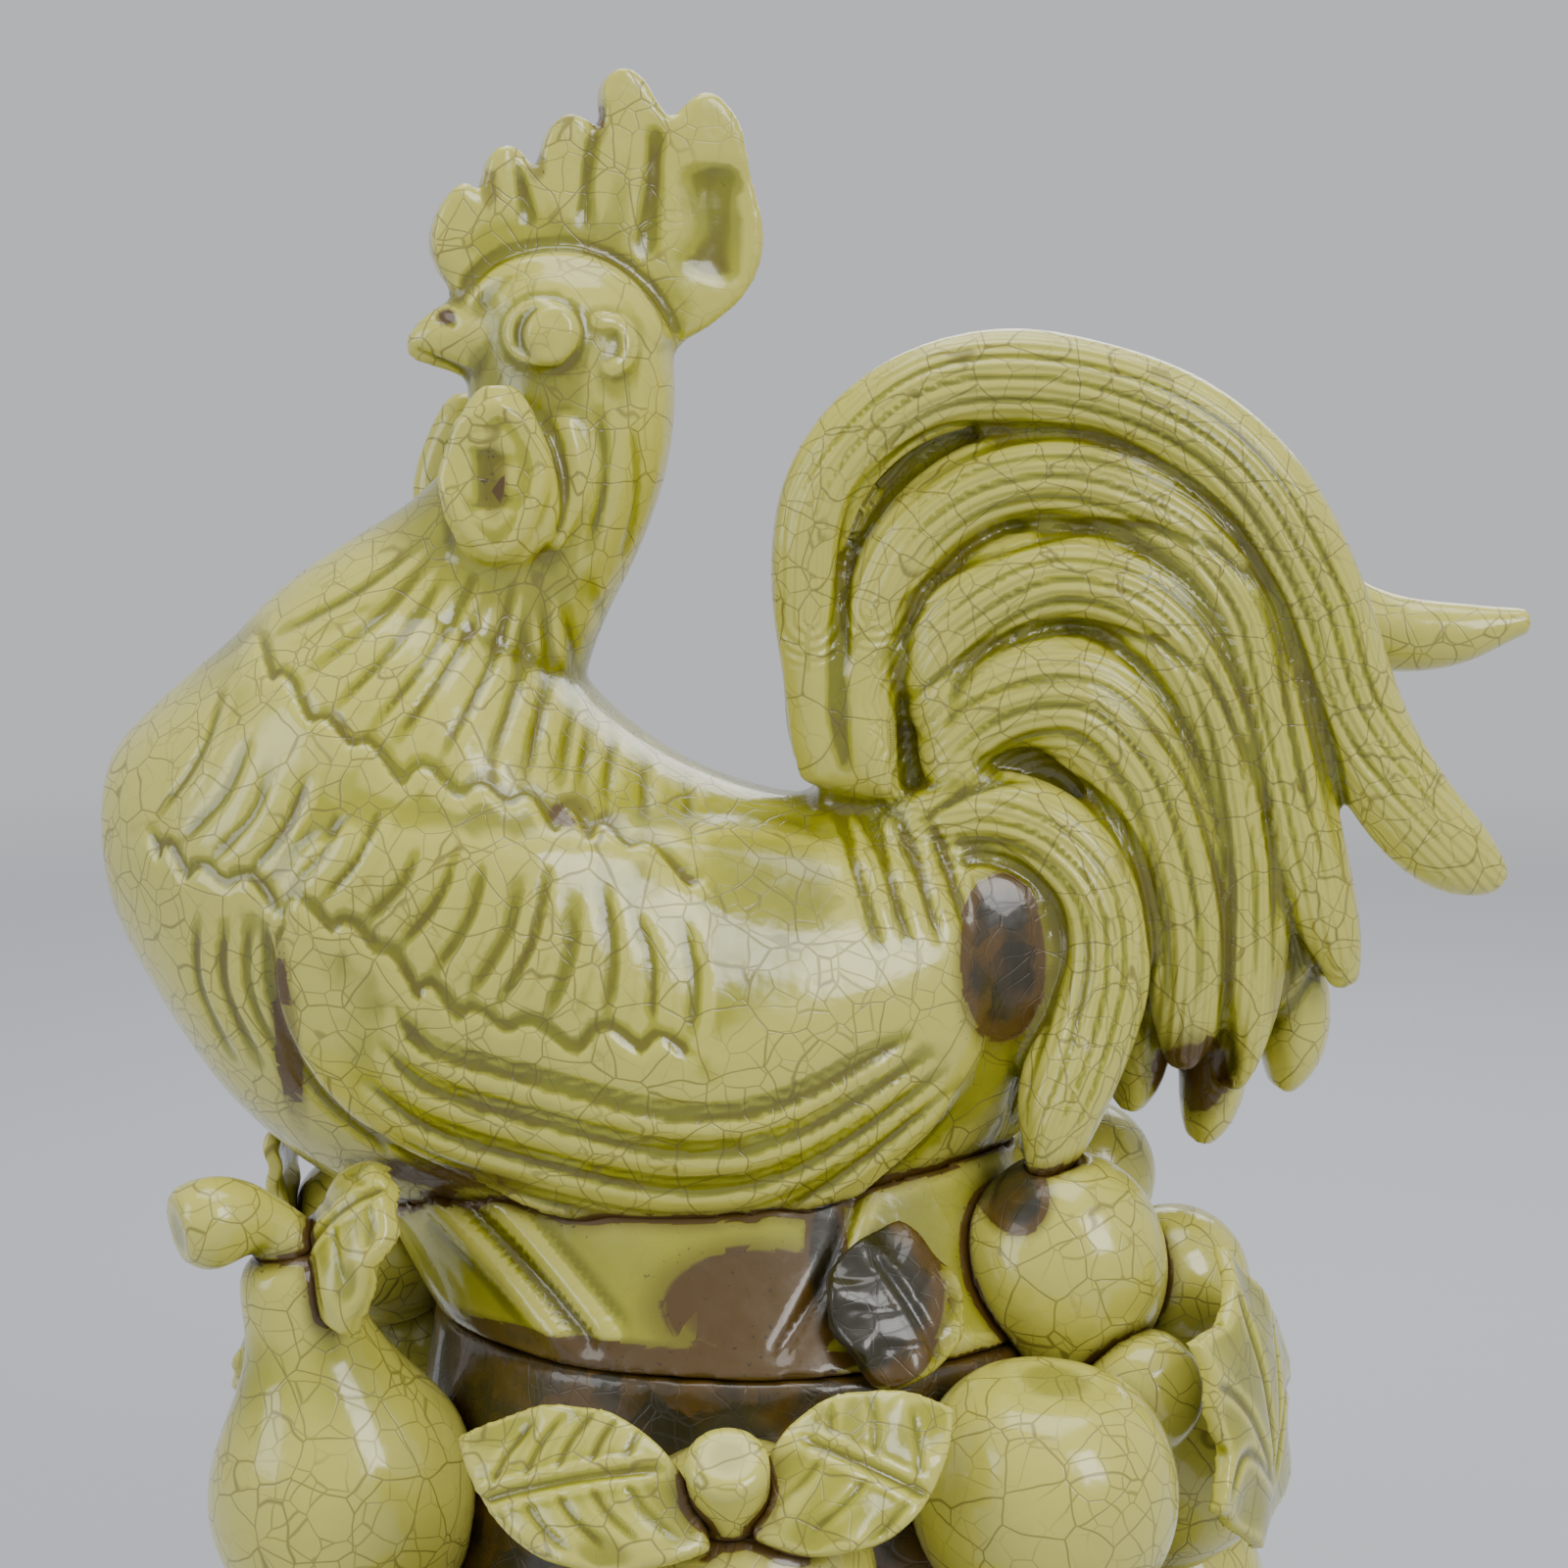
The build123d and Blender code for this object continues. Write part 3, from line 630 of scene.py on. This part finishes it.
# ---------------------------------------------------------------- leaves, fruit and the saddle
@dataclass
class Leaf:
    """A pressed leaf with a midrib and side veins.

    Args:
        node: The leaf's CAD node.
        roll: Degrees that its tip is turned from straight up, clockwise from outside.
        lobes: Turns in degrees of the main veins of a lobed leaf, none for an oval one.
    """

    node: str
    roll: float
    lobes: tuple[float, ...] = ()

    def frame(self, clay: Clay) -> tuple[Points, Points]:
        """The leaf's own axes.

        Args:
            clay: The leaf's clay.

        Returns:
            Rows towards the tip, across and out of the face; and the middle in metres.
        """
        spots = clay.spots()
        middle = spots.mean(axis=0)
        out = middle * (1, 1, 0) / np.linalg.norm(middle[:2])
        face = np.linalg.svd((spots - middle)[::7], full_matrices=False)[2][2]
        face = face * np.sign(face @ out)
        upright = np.array([0, 0, 1.0]) - face * face[2]
        upright /= np.linalg.norm(upright)
        sideways = np.cross(upright, face)
        turn = math.radians(self.roll)
        tip = upright * math.cos(turn) - sideways * math.sin(turn)
        return np.stack([tip, np.cross(face, tip), face]), middle

    def veins(self, half_length: float, half_width: float) -> list[Stroke]:
        """Midrib and side veins of a leaf of a half length and half width in millimetres."""
        if self.lobes:
            stalk = (-0.62 * half_length, 0.0)
            veins = [Stroke([stalk, (0.9 * half_length, 0.0)], 1.2, 0.9, Cut.GROOVE, 0.15)]
            for turn in self.lobes:
                angle = math.radians(turn)
                reach = 0.95 * min(half_length, half_width)
                tip = (reach * math.cos(angle), reach * math.sin(angle))
                veins.append(Stroke([stalk, (0.4 * tip[0], 0.55 * tip[1]), tip], 1.1, 0.8, Cut.GROOVE, 0.2))
            return veins
        veins = [
            Stroke([(-half_length, 0), (0.85 * half_length, 0)], 1.1, 1.0, Cut.GROOVE, 0.15),
            Stroke([(-half_length, 2.4), (0.7 * half_length, 2.0)], 1.0, 0.45, Cut.RIDGE, 0.15),
            Stroke([(-half_length, -2.4), (0.7 * half_length, -2.0)], 1.0, 0.45, Cut.RIDGE, 0.15),
        ]
        for share in np.linspace(-0.7, 0.4, 5 if half_length > 20 else 3):
            for side in (-1, 1):
                start = (share * half_length, 0.0)
                end = ((share + 0.42) * half_length, side * 0.8 * half_width)
                bend = ((share + 0.16) * half_length, side * 0.42 * half_width)
                veins.append(Stroke([start, bend, end], 0.9, 0.6, Cut.GROOVE, 0.25))
        return veins

    def build(self) -> Clay:
        """Models the leaf.

        Returns:
            The leaf's clay.
        """
        clay = Clay(f"Leaf_{self.node}", [self.node]).from_nodes().knead(LEAF_GRAIN, 5)
        axes, middle = self.frame(clay)
        local = (clay.spots() - middle) @ axes.T / MM
        half_length, half_width = np.abs(local[:, :2]).max(axis=0)
        boldness = min(1.0, half_length / 24)
        outside = smoothstep(0.1, 0.5, clay.ring_average(clay.normals(), 3) @ axes[2])
        veins = self.veins(half_length, half_width)
        rise = sum(vein.height(local[:, :2]) for vein in veins) * outside * boldness
        edge = np.hypot(local[:, 0] / half_length, local[:, 1] / half_width)
        ruffle = np.sin(np.arctan2(local[:, 1], local[:, 0]) * 7 + 1.1) * smoothstep(0.45, 1.0, edge)
        moved = axes[2] * (0.9 * ruffle + 0.3 * unevenness(clay.spots(), 9 * MM))[:, None]
        clay.move_spots(clay.spots() + (clay.normals() * rise[:, None] + moved) * MM)
        return clay


def build_fruit(node: str, grain: float) -> Clay:
    """Models a fruit, a little uneven.

    Args:
        node: The fruit's CAD node.
        grain: Size of the skin's facets in metres.

    Returns:
        The fruit's clay.
    """
    clay = Clay(f"Fruit_{node}", [node]).from_nodes().knead(grain, 3).keep_main_island()
    return clay.push_out((0.45 * unevenness(clay.spots(), 13 * MM) - 0.1) * MM)


def build_saddle(shoulder: float) -> Clay:
    """Models the saddle below the bird, with its diagonal folds.

    Args:
        shoulder: Height of the mound's shoulder in metres.

    Returns:
        The saddle's clay.
    """
    clay = Clay("Clay_perch", ["perch"]).from_nodes().knead(FRUIT_GRAIN, 3)
    spots = clay.spots()
    flat = np.stack([spots[:, 0], spots[:, 2] - shoulder], axis=1) / MM
    folds = [
        Stroke([(-74, 34), (-54, 20), (-33, 2)], 2.6, 2.2, Cut.RIDGE, 0.1),
        Stroke([(-64, 38), (-44, 23), (-24, 4)], 2.4, 1.8, Cut.RIDGE, 0.1),
        Stroke([(-69, 36), (-49, 21.5), (-28, 3)], 1.8, 1.4, Cut.GROOVE, 0.1),
        Stroke([(22, 33), (15, 18), (4, 3)], 1.6, 1.6, Cut.GROOVE, 0.1),
    ]
    side_on = smoothstep(0.1, 0.4, np.abs(clay.ring_average(clay.normals(), 4)[:, 1]))
    rise = sum(fold.height(flat) for fold in folds) * side_on + 0.5 * unevenness(spots, 14 * MM)
    return clay.push_out(rise * MM)


@dataclass(frozen=True)
class Patch:
    """A patch of brown stain and painted shade, drawn from the side.

    Args:
        piece: Start of the names of the pieces that it lies on.
        at: Its drawn x and height above the mound's shoulder, in millimetres.
        reach: Half its length and half its height in millimetres.
        strength: How strong the stain and painted shade are.
    """

    piece: str
    at: tuple[float, float]
    reach: tuple[float, float]
    strength: float

    def stain(self, flat: Points) -> Points:
        """Stain and painted shade at drawn points in millimetres."""
        distance = np.linalg.norm((flat - self.at) / self.reach, axis=1)
        return self.strength * smoothstep(1.25, 0.5, distance)


# Patches of brown stain and painted shade, drawn on the pieces where they are dark.
STAIN_AND_SHADE_PATCHES = (
    Patch("Cockerel", (49, 73), (11, 20), 1.0),
    Patch("Cockerel", (88, 47), (11, 13), 0.72),
    Patch("Cockerel", (107, 66), (6, 16), 0.45),
    Patch("Cockerel", (-89, 60), (4, 26), 0.66),
    Patch("Cockerel", (-62, 33), (24, 5), 0.7),
    Patch("Cockerel", (-14, 21), (32, 5), 0.66),
    Patch("Cockerel", (-61, 199), (2.6, 2.2), 0.8),
    Patch("Cockerel", (-50, 167), (3.6, 9), 0.62),
    Patch("Cockerel", (-52, 224), (2.5, 5), 0.6),
    Patch("Cockerel", (-43, 229), (2.5, 4), 0.6),
    Patch("Cockerel", (-31, 238), (2.5, 6), 0.55),
    Patch("Cockerel", (-35, 104), (6, 4), 0.55),
    Patch("Clay_perch", (0, 12), (24, 13), 0.8),
    Patch("Clay_perch", (14, 19), (5, 16), 1.1),
    Patch("Clay_perch", (-20, 3), (60, 4), 0.8),
    Patch("Clay_core_mound", (0, -50), (200, 120), 0.95),
    Patch("Leaf_brown_leaf", (20, 14), (20, 18), 1.15),
    Patch("Fruit_upper_apple", (50, 30), (9, 9), 1.0),
    Patch("Fruit_lower", (0, -80), (150, 22), 0.4),
)
# Places where the glaze has no crackle.
SMOOTH_GLAZE = (
    Patch("Clay_perch", (-18, 18), (90, 40), 0.9),
    Patch("Cockerel", (-7, 218), (12, 24), 0.9),
    Patch("Cockerel", (-40, 198), (16, 12), 0.45),
)


# ---------------------------------------------------------------- glaze
class Maths:
    """A shader value that takes Python's operators."""

    def __init__(self, tree: bpy.types.NodeTree, socket: bpy.types.NodeSocket):
        """Wraps a socket of a material's tree."""
        self.tree = tree
        self.socket = socket

    def _math(self, operation: str, *values: object, clamp: bool = False) -> "Maths":
        """Adds a Math node on numbers and wrapped sockets."""
        node = self.tree.nodes.new("ShaderNodeMath")
        node.operation = operation
        node.use_clamp = clamp
        for i, value in enumerate(values):
            if isinstance(value, Maths):
                self.tree.links.new(value.socket, node.inputs[i])
            else:
                node.inputs[i].default_value = value
        return Maths(self.tree, node.outputs[0])

    def __add__(self, other: object) -> "Maths":
        """Sum."""
        return self._math("ADD", self, other)

    __radd__ = __add__

    def __sub__(self, other: object) -> "Maths":
        """Difference."""
        return self._math("SUBTRACT", self, other)

    def __rsub__(self, other: object) -> "Maths":
        """Difference from a number."""
        return self._math("SUBTRACT", other, self)

    def __mul__(self, other: object) -> "Maths":
        """Product."""
        return self._math("MULTIPLY", self, other)

    __rmul__ = __mul__

    def __truediv__(self, other: object) -> "Maths":
        """Quotient."""
        return self._math("DIVIDE", self, other)

    def larger(self, other: object) -> "Maths":
        """The larger of two values."""
        return self._math("MAXIMUM", self, other)

    def sine(self) -> "Maths":
        """The sine of the value in radians."""
        return self._math("SINE", self)

    def ramp(self, low: float, high: float) -> "Maths":
        """Smooth step from 0 at low to 1 at high."""
        node = self.tree.nodes.new("ShaderNodeMapRange")
        node.interpolation_type = "SMOOTHSTEP"
        self.tree.links.new(self.socket, node.inputs["Value"])
        node.inputs["From Min"].default_value = low
        node.inputs["From Max"].default_value = high
        return Maths(self.tree, node.outputs["Result"])


class Shader:
    """A material's nodes, added one at a time."""

    def __init__(self, name: str):
        """Starts a material with nothing in it.

        Args:
            name: Name of the material.
        """
        self.material = bpy.data.materials.new(name)
        self.material.use_nodes = True
        self.tree = self.material.node_tree
        self.tree.nodes.clear()
        self.place = self.node("ShaderNodeTexCoord", {}, {}).outputs["Object"]

    def node(self, kind: str, settings: dict, sockets: dict) -> bpy.types.Node:
        """Adds one node.

        Args:
            kind: The node's type.
            settings: Its settings, set first.
            sockets: Values or links of its inputs, by name or number.

        Returns:
            The node.
        """
        made = self.tree.nodes.new(kind)
        for key, value in settings.items():
            setattr(made, key, value)
        for key, value in sockets.items():
            if isinstance(value, Maths):
                self.tree.links.new(value.socket, made.inputs[key])
            elif isinstance(value, bpy.types.NodeSocket):
                self.tree.links.new(value, made.inputs[key])
            else:
                made.inputs[key].default_value = value
        return made

    def mix(self, share: object, first: object, second: object) -> bpy.types.NodeSocket:
        """Mixes two colours by a share."""
        start, stop = [(*c, 1.0) if isinstance(c, tuple) else c for c in (first, second)]
        settings = {"data_type": "RGBA", "clamp_factor": True}
        return self.node("ShaderNodeMix", settings, {0: share, 6: start, 7: stop}).outputs[2]

    def attribute(self, name: str) -> Maths:
        """A value stored on the piece's points."""
        settings = {"attribute_name": name, "attribute_type": "GEOMETRY"}
        return Maths(self.tree, self.node("ShaderNodeAttribute", settings, {}).outputs["Fac"])

    def noise(self, scale: float, detail: float = 2.0, at: object = None) -> Maths:
        """Fractal noise of a scale in cells per metre."""
        sockets = {"Vector": at or self.place, "Scale": scale, "Detail": detail}
        return Maths(self.tree, self.node("ShaderNodeTexNoise", {}, sockets).outputs["Fac"])

    def cells(self, size: float, feature: str, output: str, at: object) -> bpy.types.NodeSocket:
        """Cells of a size in metres."""
        settings = {"feature": feature, "voronoi_dimensions": "3D"}
        sockets = {"Vector": at, "Scale": 1 / size, "Randomness": 0.92}
        return self.node("ShaderNodeTexVoronoi", settings, sockets).outputs[output]

    def swayed(self, scale: float, reach: float) -> bpy.types.NodeSocket:
        """The place, moved about by noise of a scale in cells per metre and a reach in metres."""
        sway = self.node("ShaderNodeTexNoise", {}, {"Vector": self.place, "Scale": scale, "Detail": 1.0})
        half = {0: sway.outputs["Color"], 1: (0.5, 0.5, 0.5)}
        centred = self.node("ShaderNodeVectorMath", {"operation": "SUBTRACT"}, half)
        sockets = {0: centred.outputs[0], "Scale": 2 * reach}
        moved = self.node("ShaderNodeVectorMath", {"operation": "SCALE"}, sockets)
        both = {0: self.place, 1: moved.outputs[0]}
        return self.node("ShaderNodeVectorMath", {"operation": "ADD"}, both).outputs[0]


@dataclass(frozen=True)
class CrackleGlaze:
    """Chartreuse glaze with a crackle, brown stain and painted shade, over earthenware.

    Args:
        name: Name of the material.
        pale: Colour where the glaze is thin, on crests.
        middle: Colour of most of it.
        deep: Colour where it pools, which also paints shade into the hollows.
        umber: Colour of the brown stain and of the painted shade in hollows and joins.
        blackish_stain_and_shade: Colour of the stain and painted shade at their thickest, and of the specks.
        line: Colour of the crackle's lines.
        cell: Size of the crackle's cells in metres.
        barb: Distance between the tool marks along a feather, in millimetres.
        roughness: Roughness of the clean glaze.
    """

    name: str
    pale: tuple[float, float, float] = (0.60, 0.565, 0.105)
    middle: tuple[float, float, float] = (0.375, 0.365, 0.020)
    deep: tuple[float, float, float] = (0.20, 0.20, 0.004)
    umber: tuple[float, float, float] = (0.085, 0.040, 0.0035)
    blackish_stain_and_shade: tuple[float, float, float] = (0.010, 0.007, 0.004)
    line: tuple[float, float, float] = (0.125, 0.095, 0.010)
    cell: float = 0.0062
    barb: float = 2.1
    roughness: float = 0.17

    def blend(self, first: tuple, second: tuple, share: float) -> tuple[float, float, float]:
        """A colour between two."""
        return tuple((1 - share) * a + share * b for a, b in zip(first, second))

    def crackle(self, shader: Shader, warped: object, crackled: Maths) -> Maths:
        """Strength of the crackle's lines: a wide mesh, and a finer one that comes and goes."""
        wide = Maths(shader.tree, shader.cells(1.75 * self.cell, "DISTANCE_TO_EDGE", "Distance", warped))
        fine = Maths(shader.tree, shader.cells(self.cell, "DISTANCE_TO_EDGE", "Distance", warped))
        wide_line = (1 - wide.ramp(0.003, 0.024)) * 0.95
        fine_line = (1 - fine.ramp(0.004, 0.036)) * shader.noise(45.0).ramp(0.32, 0.58) * 0.8
        return wide_line.larger(fine_line) * crackled

    def build(self) -> bpy.types.Material:
        """Builds the material.

        Returns:
            The material.
        """
        shader = Shader(self.name)
        warped = shader.swayed(130.0, 0.0011)
        hollow = shader.attribute("hollow")
        # Brown stain, painted shade in broad hollows and painted shade where pieces meet.
        stain = shader.attribute("stain")
        barbs = (shader.attribute("lane") * (2 * math.pi / self.barb)).sine() * shader.attribute("barbs")
        lines = self.crackle(shader, warped, shader.attribute("crackle"))

        cloud = shader.noise(38.0, 3.0).ramp(0.38, 0.66)
        tint = shader.mix(cloud, self.middle, self.blend(self.deep, self.pale, 0.22))
        tint = shader.mix((hollow * -1.0).ramp(0.05, 0.8) * 0.9, tint, self.pale)
        # Glaze pooled in hollows turns deep green; the darkening there is also painted shade.
        tint = shader.mix(hollow.ramp(0.05, 0.8) * 0.95, tint, self.deep)
        # Brown in the deepest hollows and in stained places: brown stain and painted shade.
        hollow_stain_and_shade = hollow.ramp(0.45, 1.2) * shader.noise(70.0, 3.0).ramp(0.3, 0.65)
        stain_and_shade_wash = hollow_stain_and_shade.larger(stain.ramp(0.15, 0.75)) * 0.8
        tint = shader.mix(stain_and_shade_wash, tint, self.blend(self.umber, self.deep, 0.4))
        tint = shader.mix(lines * 0.7, tint, self.line)

        flake = shader.noise(60.0, 3.0, shader.cells(0.8 * self.cell, "F1", "Position", warped))
        # Brown patches, blackish where thickest: stain and painted shade together.
        pooled_stain_and_shade = (stain + (flake - 0.5) * 0.9).ramp(0.60, 0.67)
        thick_stain_and_shade = (stain + (flake - 0.5) * 0.7 + (shader.noise(90.0, 3.0) - 0.5) * 0.5).ramp(0.86, 1.08)
        tint = shader.mix(pooled_stain_and_shade * 0.94, tint, shader.mix(thick_stain_and_shade, self.umber, self.blackish_stain_and_shade))
        speck = shader.noise(900.0).ramp(0.66, 0.74) * stain.ramp(0.05, 0.5)
        tint = shader.mix(speck * 0.7, tint, self.blackish_stain_and_shade)

        gloss = shader.noise(220.0, 3.0).ramp(0.35, 0.75) * 0.11 + self.roughness
        gloss = gloss + lines * 0.15 + pooled_stain_and_shade * 0.12
        wave = shader.noise(95.0) * 0.85 + shader.noise(330.0) * 0.15 + barbs * 0.35
        wave = wave - lines * 0.10 - pooled_stain_and_shade * 0.10
        bump = shader.node("ShaderNodeBump", {}, {"Strength": 0.5, "Distance": 0.0012, "Height": wave})
        inputs = {
            "Base Color": tint,
            "Roughness": gloss,
            "Normal": bump.outputs["Normal"],
            "IOR": 1.52,
            "Coat Weight": 0.5,
            "Coat Roughness": 0.06,
        }
        surface = shader.node("ShaderNodeBsdfPrincipled", {}, inputs)
        shader.node("ShaderNodeOutputMaterial", {}, {"Surface": surface.outputs["BSDF"]})
        return shader.material


@dataclass(frozen=True)
class Paper:
    """Pale paper that the figure stands on, which fades into the room's tone far away.

    Args:
        name: Name of the material.
        tone: Colour of the paper.
        air: Colour of the room.
        near: Distance from the middle where it starts to fade, in metres.
        far: Distance where it has faded, in metres.
    """

    name: str
    tone: tuple[float, float, float]
    air: tuple[float, float, float]
    near: float = 0.5
    far: float = 2.4

    def build(self) -> bpy.types.Material:
        """Builds the material.

        Returns:
            The material.
        """
        shader = Shader(self.name)
        reach = shader.node("ShaderNodeVectorMath", {"operation": "LENGTH"}, {0: shader.place})
        faded = Maths(shader.tree, reach.outputs["Value"]).ramp(self.near, self.far)
        grain = shader.noise(420.0, 3.0)
        tone = shader.mix(grain * 0.06, self.tone, (0.5, 0.5, 0.52))
        paper = shader.node("ShaderNodeBsdfPrincipled", {}, {"Base Color": tone, "Roughness": 0.92})
        glow = shader.node("ShaderNodeEmission", {}, {"Color": (*self.air, 1.0), "Strength": 1.0})
        sockets = {0: faded, 1: paper.outputs["BSDF"], 2: glow.outputs["Emission"]}
        both = shader.node("ShaderNodeMixShader", {}, sockets)
        shader.node("ShaderNodeOutputMaterial", {}, {"Surface": both.outputs["Shader"]})
        return shader.material


# ---------------------------------------------------------------- studio
@dataclass(frozen=True)
class Studio:
    """Pale floor, soft light and the camera."""

    view_x: float = 0.006
    view_height: float = 0.279
    look_height: float = 0.221
    distance: float = 0.560
    focal_mm: float = 63.0
    paper: tuple[float, float, float] = (0.47, 0.485, 0.52)
    air: tuple[float, float, float] = (0.60, 0.607, 0.635)

    def light(self, name: str, at: tuple, size: tuple[float, float], power: float, tone: tuple) -> None:
        """Adds a soft rectangular lamp that shines at the object's middle.

        Args:
            name: Name of the lamp.
            at: Its place in metres.
            size: Its width and height in metres.
            power: Its power in watts.
            tone: Its colour.
        """
        lamp = bpy.data.lights.new(name, "AREA")
        lamp.shape = "RECTANGLE"
        lamp.size, lamp.size_y = size
        lamp.energy = power
        lamp.color = tone
        holder = bpy.data.objects.new(name, lamp)
        holder.location = at
        holder.rotation_euler = (Vector((0, 0, 0.2)) - Vector(at)).to_track_quat("-Z", "Y").to_euler()
        bpy.context.scene.collection.objects.link(holder)

    def build(self) -> None:
        """Builds the floor, the lamps, the pale surroundings and the camera."""
        bpy.ops.object.select_all(action="DESELECT")
        bpy.ops.mesh.primitive_circle_add(vertices=96, radius=6.0, fill_type="NGON", location=(0, 0, -0.0002))
        floor = bpy.context.object
        floor.name = "Floor"
        floor.data.materials.append(Paper("Pale_paper", self.paper, self.air).build())

        world = bpy.data.worlds.new("Pale_room")
        world.use_nodes = True
        background = world.node_tree.nodes["Background"]
        background.inputs["Color"].default_value = (*self.air, 1)
        background.inputs["Strength"].default_value = 1.0
        bpy.context.scene.world = world

        self.light("Window_right", (0.75, -0.85, 0.95), (0.5, 0.7), 9.0, (1.0, 0.99, 0.97))
        self.light("Window_left", (-1.0, -0.55, 0.6), (0.5, 0.8), 4.0, (0.95, 0.98, 1.0))
        self.light("Ceiling", (0.05, 0.1, 1.35), (0.9, 0.9), 9.0, (1.0, 1.0, 1.0))
        self.light("Behind", (0.3, 1.1, 0.9), (1.0, 0.6), 5.0, (1.0, 1.0, 1.0))

        camera = bpy.data.cameras.new("Camera")
        camera.sensor_width = 36.0
        camera.lens = self.focal_mm
        camera.clip_start = 0.01
        holder = bpy.data.objects.new("Camera", camera)
        holder.location = (self.view_x, -self.distance, self.view_height)
        aim = Vector((self.view_x, 0, self.look_height)) - holder.location
        holder.rotation_euler = aim.to_track_quat("-Z", "Y").to_euler()
        bpy.context.scene.collection.objects.link(holder)
        bpy.context.scene.camera = holder


# ---------------------------------------------------------------- everything in order
@dataclass
class Figure:
    """The whole figure: the bird, and the pieces of its mound.

    Args:
        pieces: The clay pieces built so far.
        contact_shade_reach: How far the painted shade spreads from where two pieces meet, in metres.
        fine_hollow: Depth of a narrow hollow that counts as full, in metres.
        broad_hollow: Depth of a wide hollow that counts as full, in metres.
    """

    pieces: list[Clay] = field(default_factory=list)
    contact_shade_reach: float = 7 * MM
    fine_hollow: float = 0.12 * MM
    broad_hollow: float = 0.8 * MM

    FRUIT = (
        "lower_apple_1", "lower_quince_1", "lower_apple_2", "lower_pear_1", "lower_apple_3", "lower_quince_2",
        "lower_apple_4", "lower_pear_2", "pear", "front_apple", "right_apple", "side_quince", "back_apple_1",
        "back_pear", "back_apple_2", "upper_apple", "left_plum", "back_peach_1", "back_peach_2",
    )
    SOLID_FRUIT = ("upper_plum", "upper_peach", "small_plum")
    STEMS = ("pear_stem", "front_stem")
    LOBES = (58, -58, 112, -112)
    LEAVES = (
        Leaf("front_leaf_left", -74),
        Leaf("front_leaf_right", 62),
        Leaf("brown_leaf", 20),
        Leaf("pear_leaf", 150),
        Leaf("left_leaf", -8),
        Leaf("vine_leaf_left", -12, LOBES),
        Leaf("vine_leaf_right", 8, LOBES),
        Leaf("vine_leaf_back", 10, LOBES),
        Leaf("back_leaf_left", -60),
        Leaf("back_leaf_right", 40),
    )

    def build(self) -> None:
        """Models every piece."""
        self.pieces.append(Bird().build())
        for node, grain in (("foot_ring", FOOT_GRAIN), ("core_mound", CLAY_GRAIN)):
            self.pieces.append(Clay(f"Clay_{node}", [node]).from_nodes().knead(grain, 2))
        self.pieces.append(build_saddle(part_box("core_mound")[1].z))
        self.pieces.extend(build_fruit(node, FRUIT_GRAIN) for node in self.FRUIT)
        small = (*self.SOLID_FRUIT, *self.STEMS)
        self.pieces.extend(build_fruit(node, SMALL_FRUIT_GRAIN) for node in small)
        self.pieces.extend(leaf.build() for leaf in self.LEAVES)

    def weather_and_shade(self) -> None:
        """Works out where the glaze pools, and where brown stain and painted shade go, on every piece."""
        trees = []
        for clay in self.pieces:
            faces = [tuple(p.vertices) for p in clay.piece.data.polygons]
            trees.append(BVHTree.FromPolygons(clay.spots().tolist(), faces))
        boxes = [clay.corners() for clay in self.pieces]
        for i, clay in enumerate(self.pieces):
            spots = clay.spots()
            # Painted shade where a piece comes near another one, darkest where they touch.
            near = np.zeros(len(spots))
            reach = self.contact_shade_reach
            for j, tree in enumerate(trees):
                low, high = boxes[j][0] - reach, boxes[j][1] + reach
                if i == j or np.any(low > boxes[i][1]) or np.any(boxes[i][0] > high):
                    continue
                inside = np.all((spots > low) & (spots < high), axis=1)
                for k in np.nonzero(inside)[0]:
                    found = tree.find_nearest(spots[k], reach)
                    if found[0] is not None:
                        near[k] = max(near[k], 1 - found[3] / reach)
            hollow = clay.hollowness(6) / self.fine_hollow
            wide = clay.hollowness(40) / self.broad_hollow
            clay.mark("hollow", np.clip(0.6 * hollow + 0.6 * wide, -1.5, 1.5))
            flat = np.stack([spots[:, 0], spots[:, 2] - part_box("core_mound")[1].z], axis=1) / MM
            # Stain and painted shade: painted shade near other pieces and in broad hollows, and the drawn
            # patches of brown stain and painted shade.
            stain = near**1.8 * 0.9 + np.clip(wide, 0, 1) * 0.25
            for patch in STAIN_AND_SHADE_PATCHES:
                if clay.name.startswith(patch.piece):
                    stain = np.maximum(stain, patch.stain(flat))
            crackle = np.ones(len(spots))
            for patch in SMOOTH_GLAZE:
                if clay.name.startswith(patch.piece):
                    # The smooth patch's falloff gives the share of crackle taken away.
                    crackle *= 1 - patch.stain(flat)
            clay.mark("stain", np.clip(stain, 0, 1.3))
            clay.mark("crackle", crackle)

    def finish(self) -> None:
        """Glazes every piece."""
        glaze = CrackleGlaze("Chartreuse_crackle_glaze").build()
        for clay in self.pieces:
            clay.finish(glaze)


def main() -> None:
    """Builds the figure and the studio."""
    logging.basicConfig(level=logging.INFO)
    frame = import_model()
    LOG.info("%d clay pieces in the frame", len(frame["nodes"]))
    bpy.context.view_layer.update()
    figure = Figure()
    figure.build()
    figure.weather_and_shade()
    figure.finish()
    Studio().build()


if __name__ == "__main__":
    main()
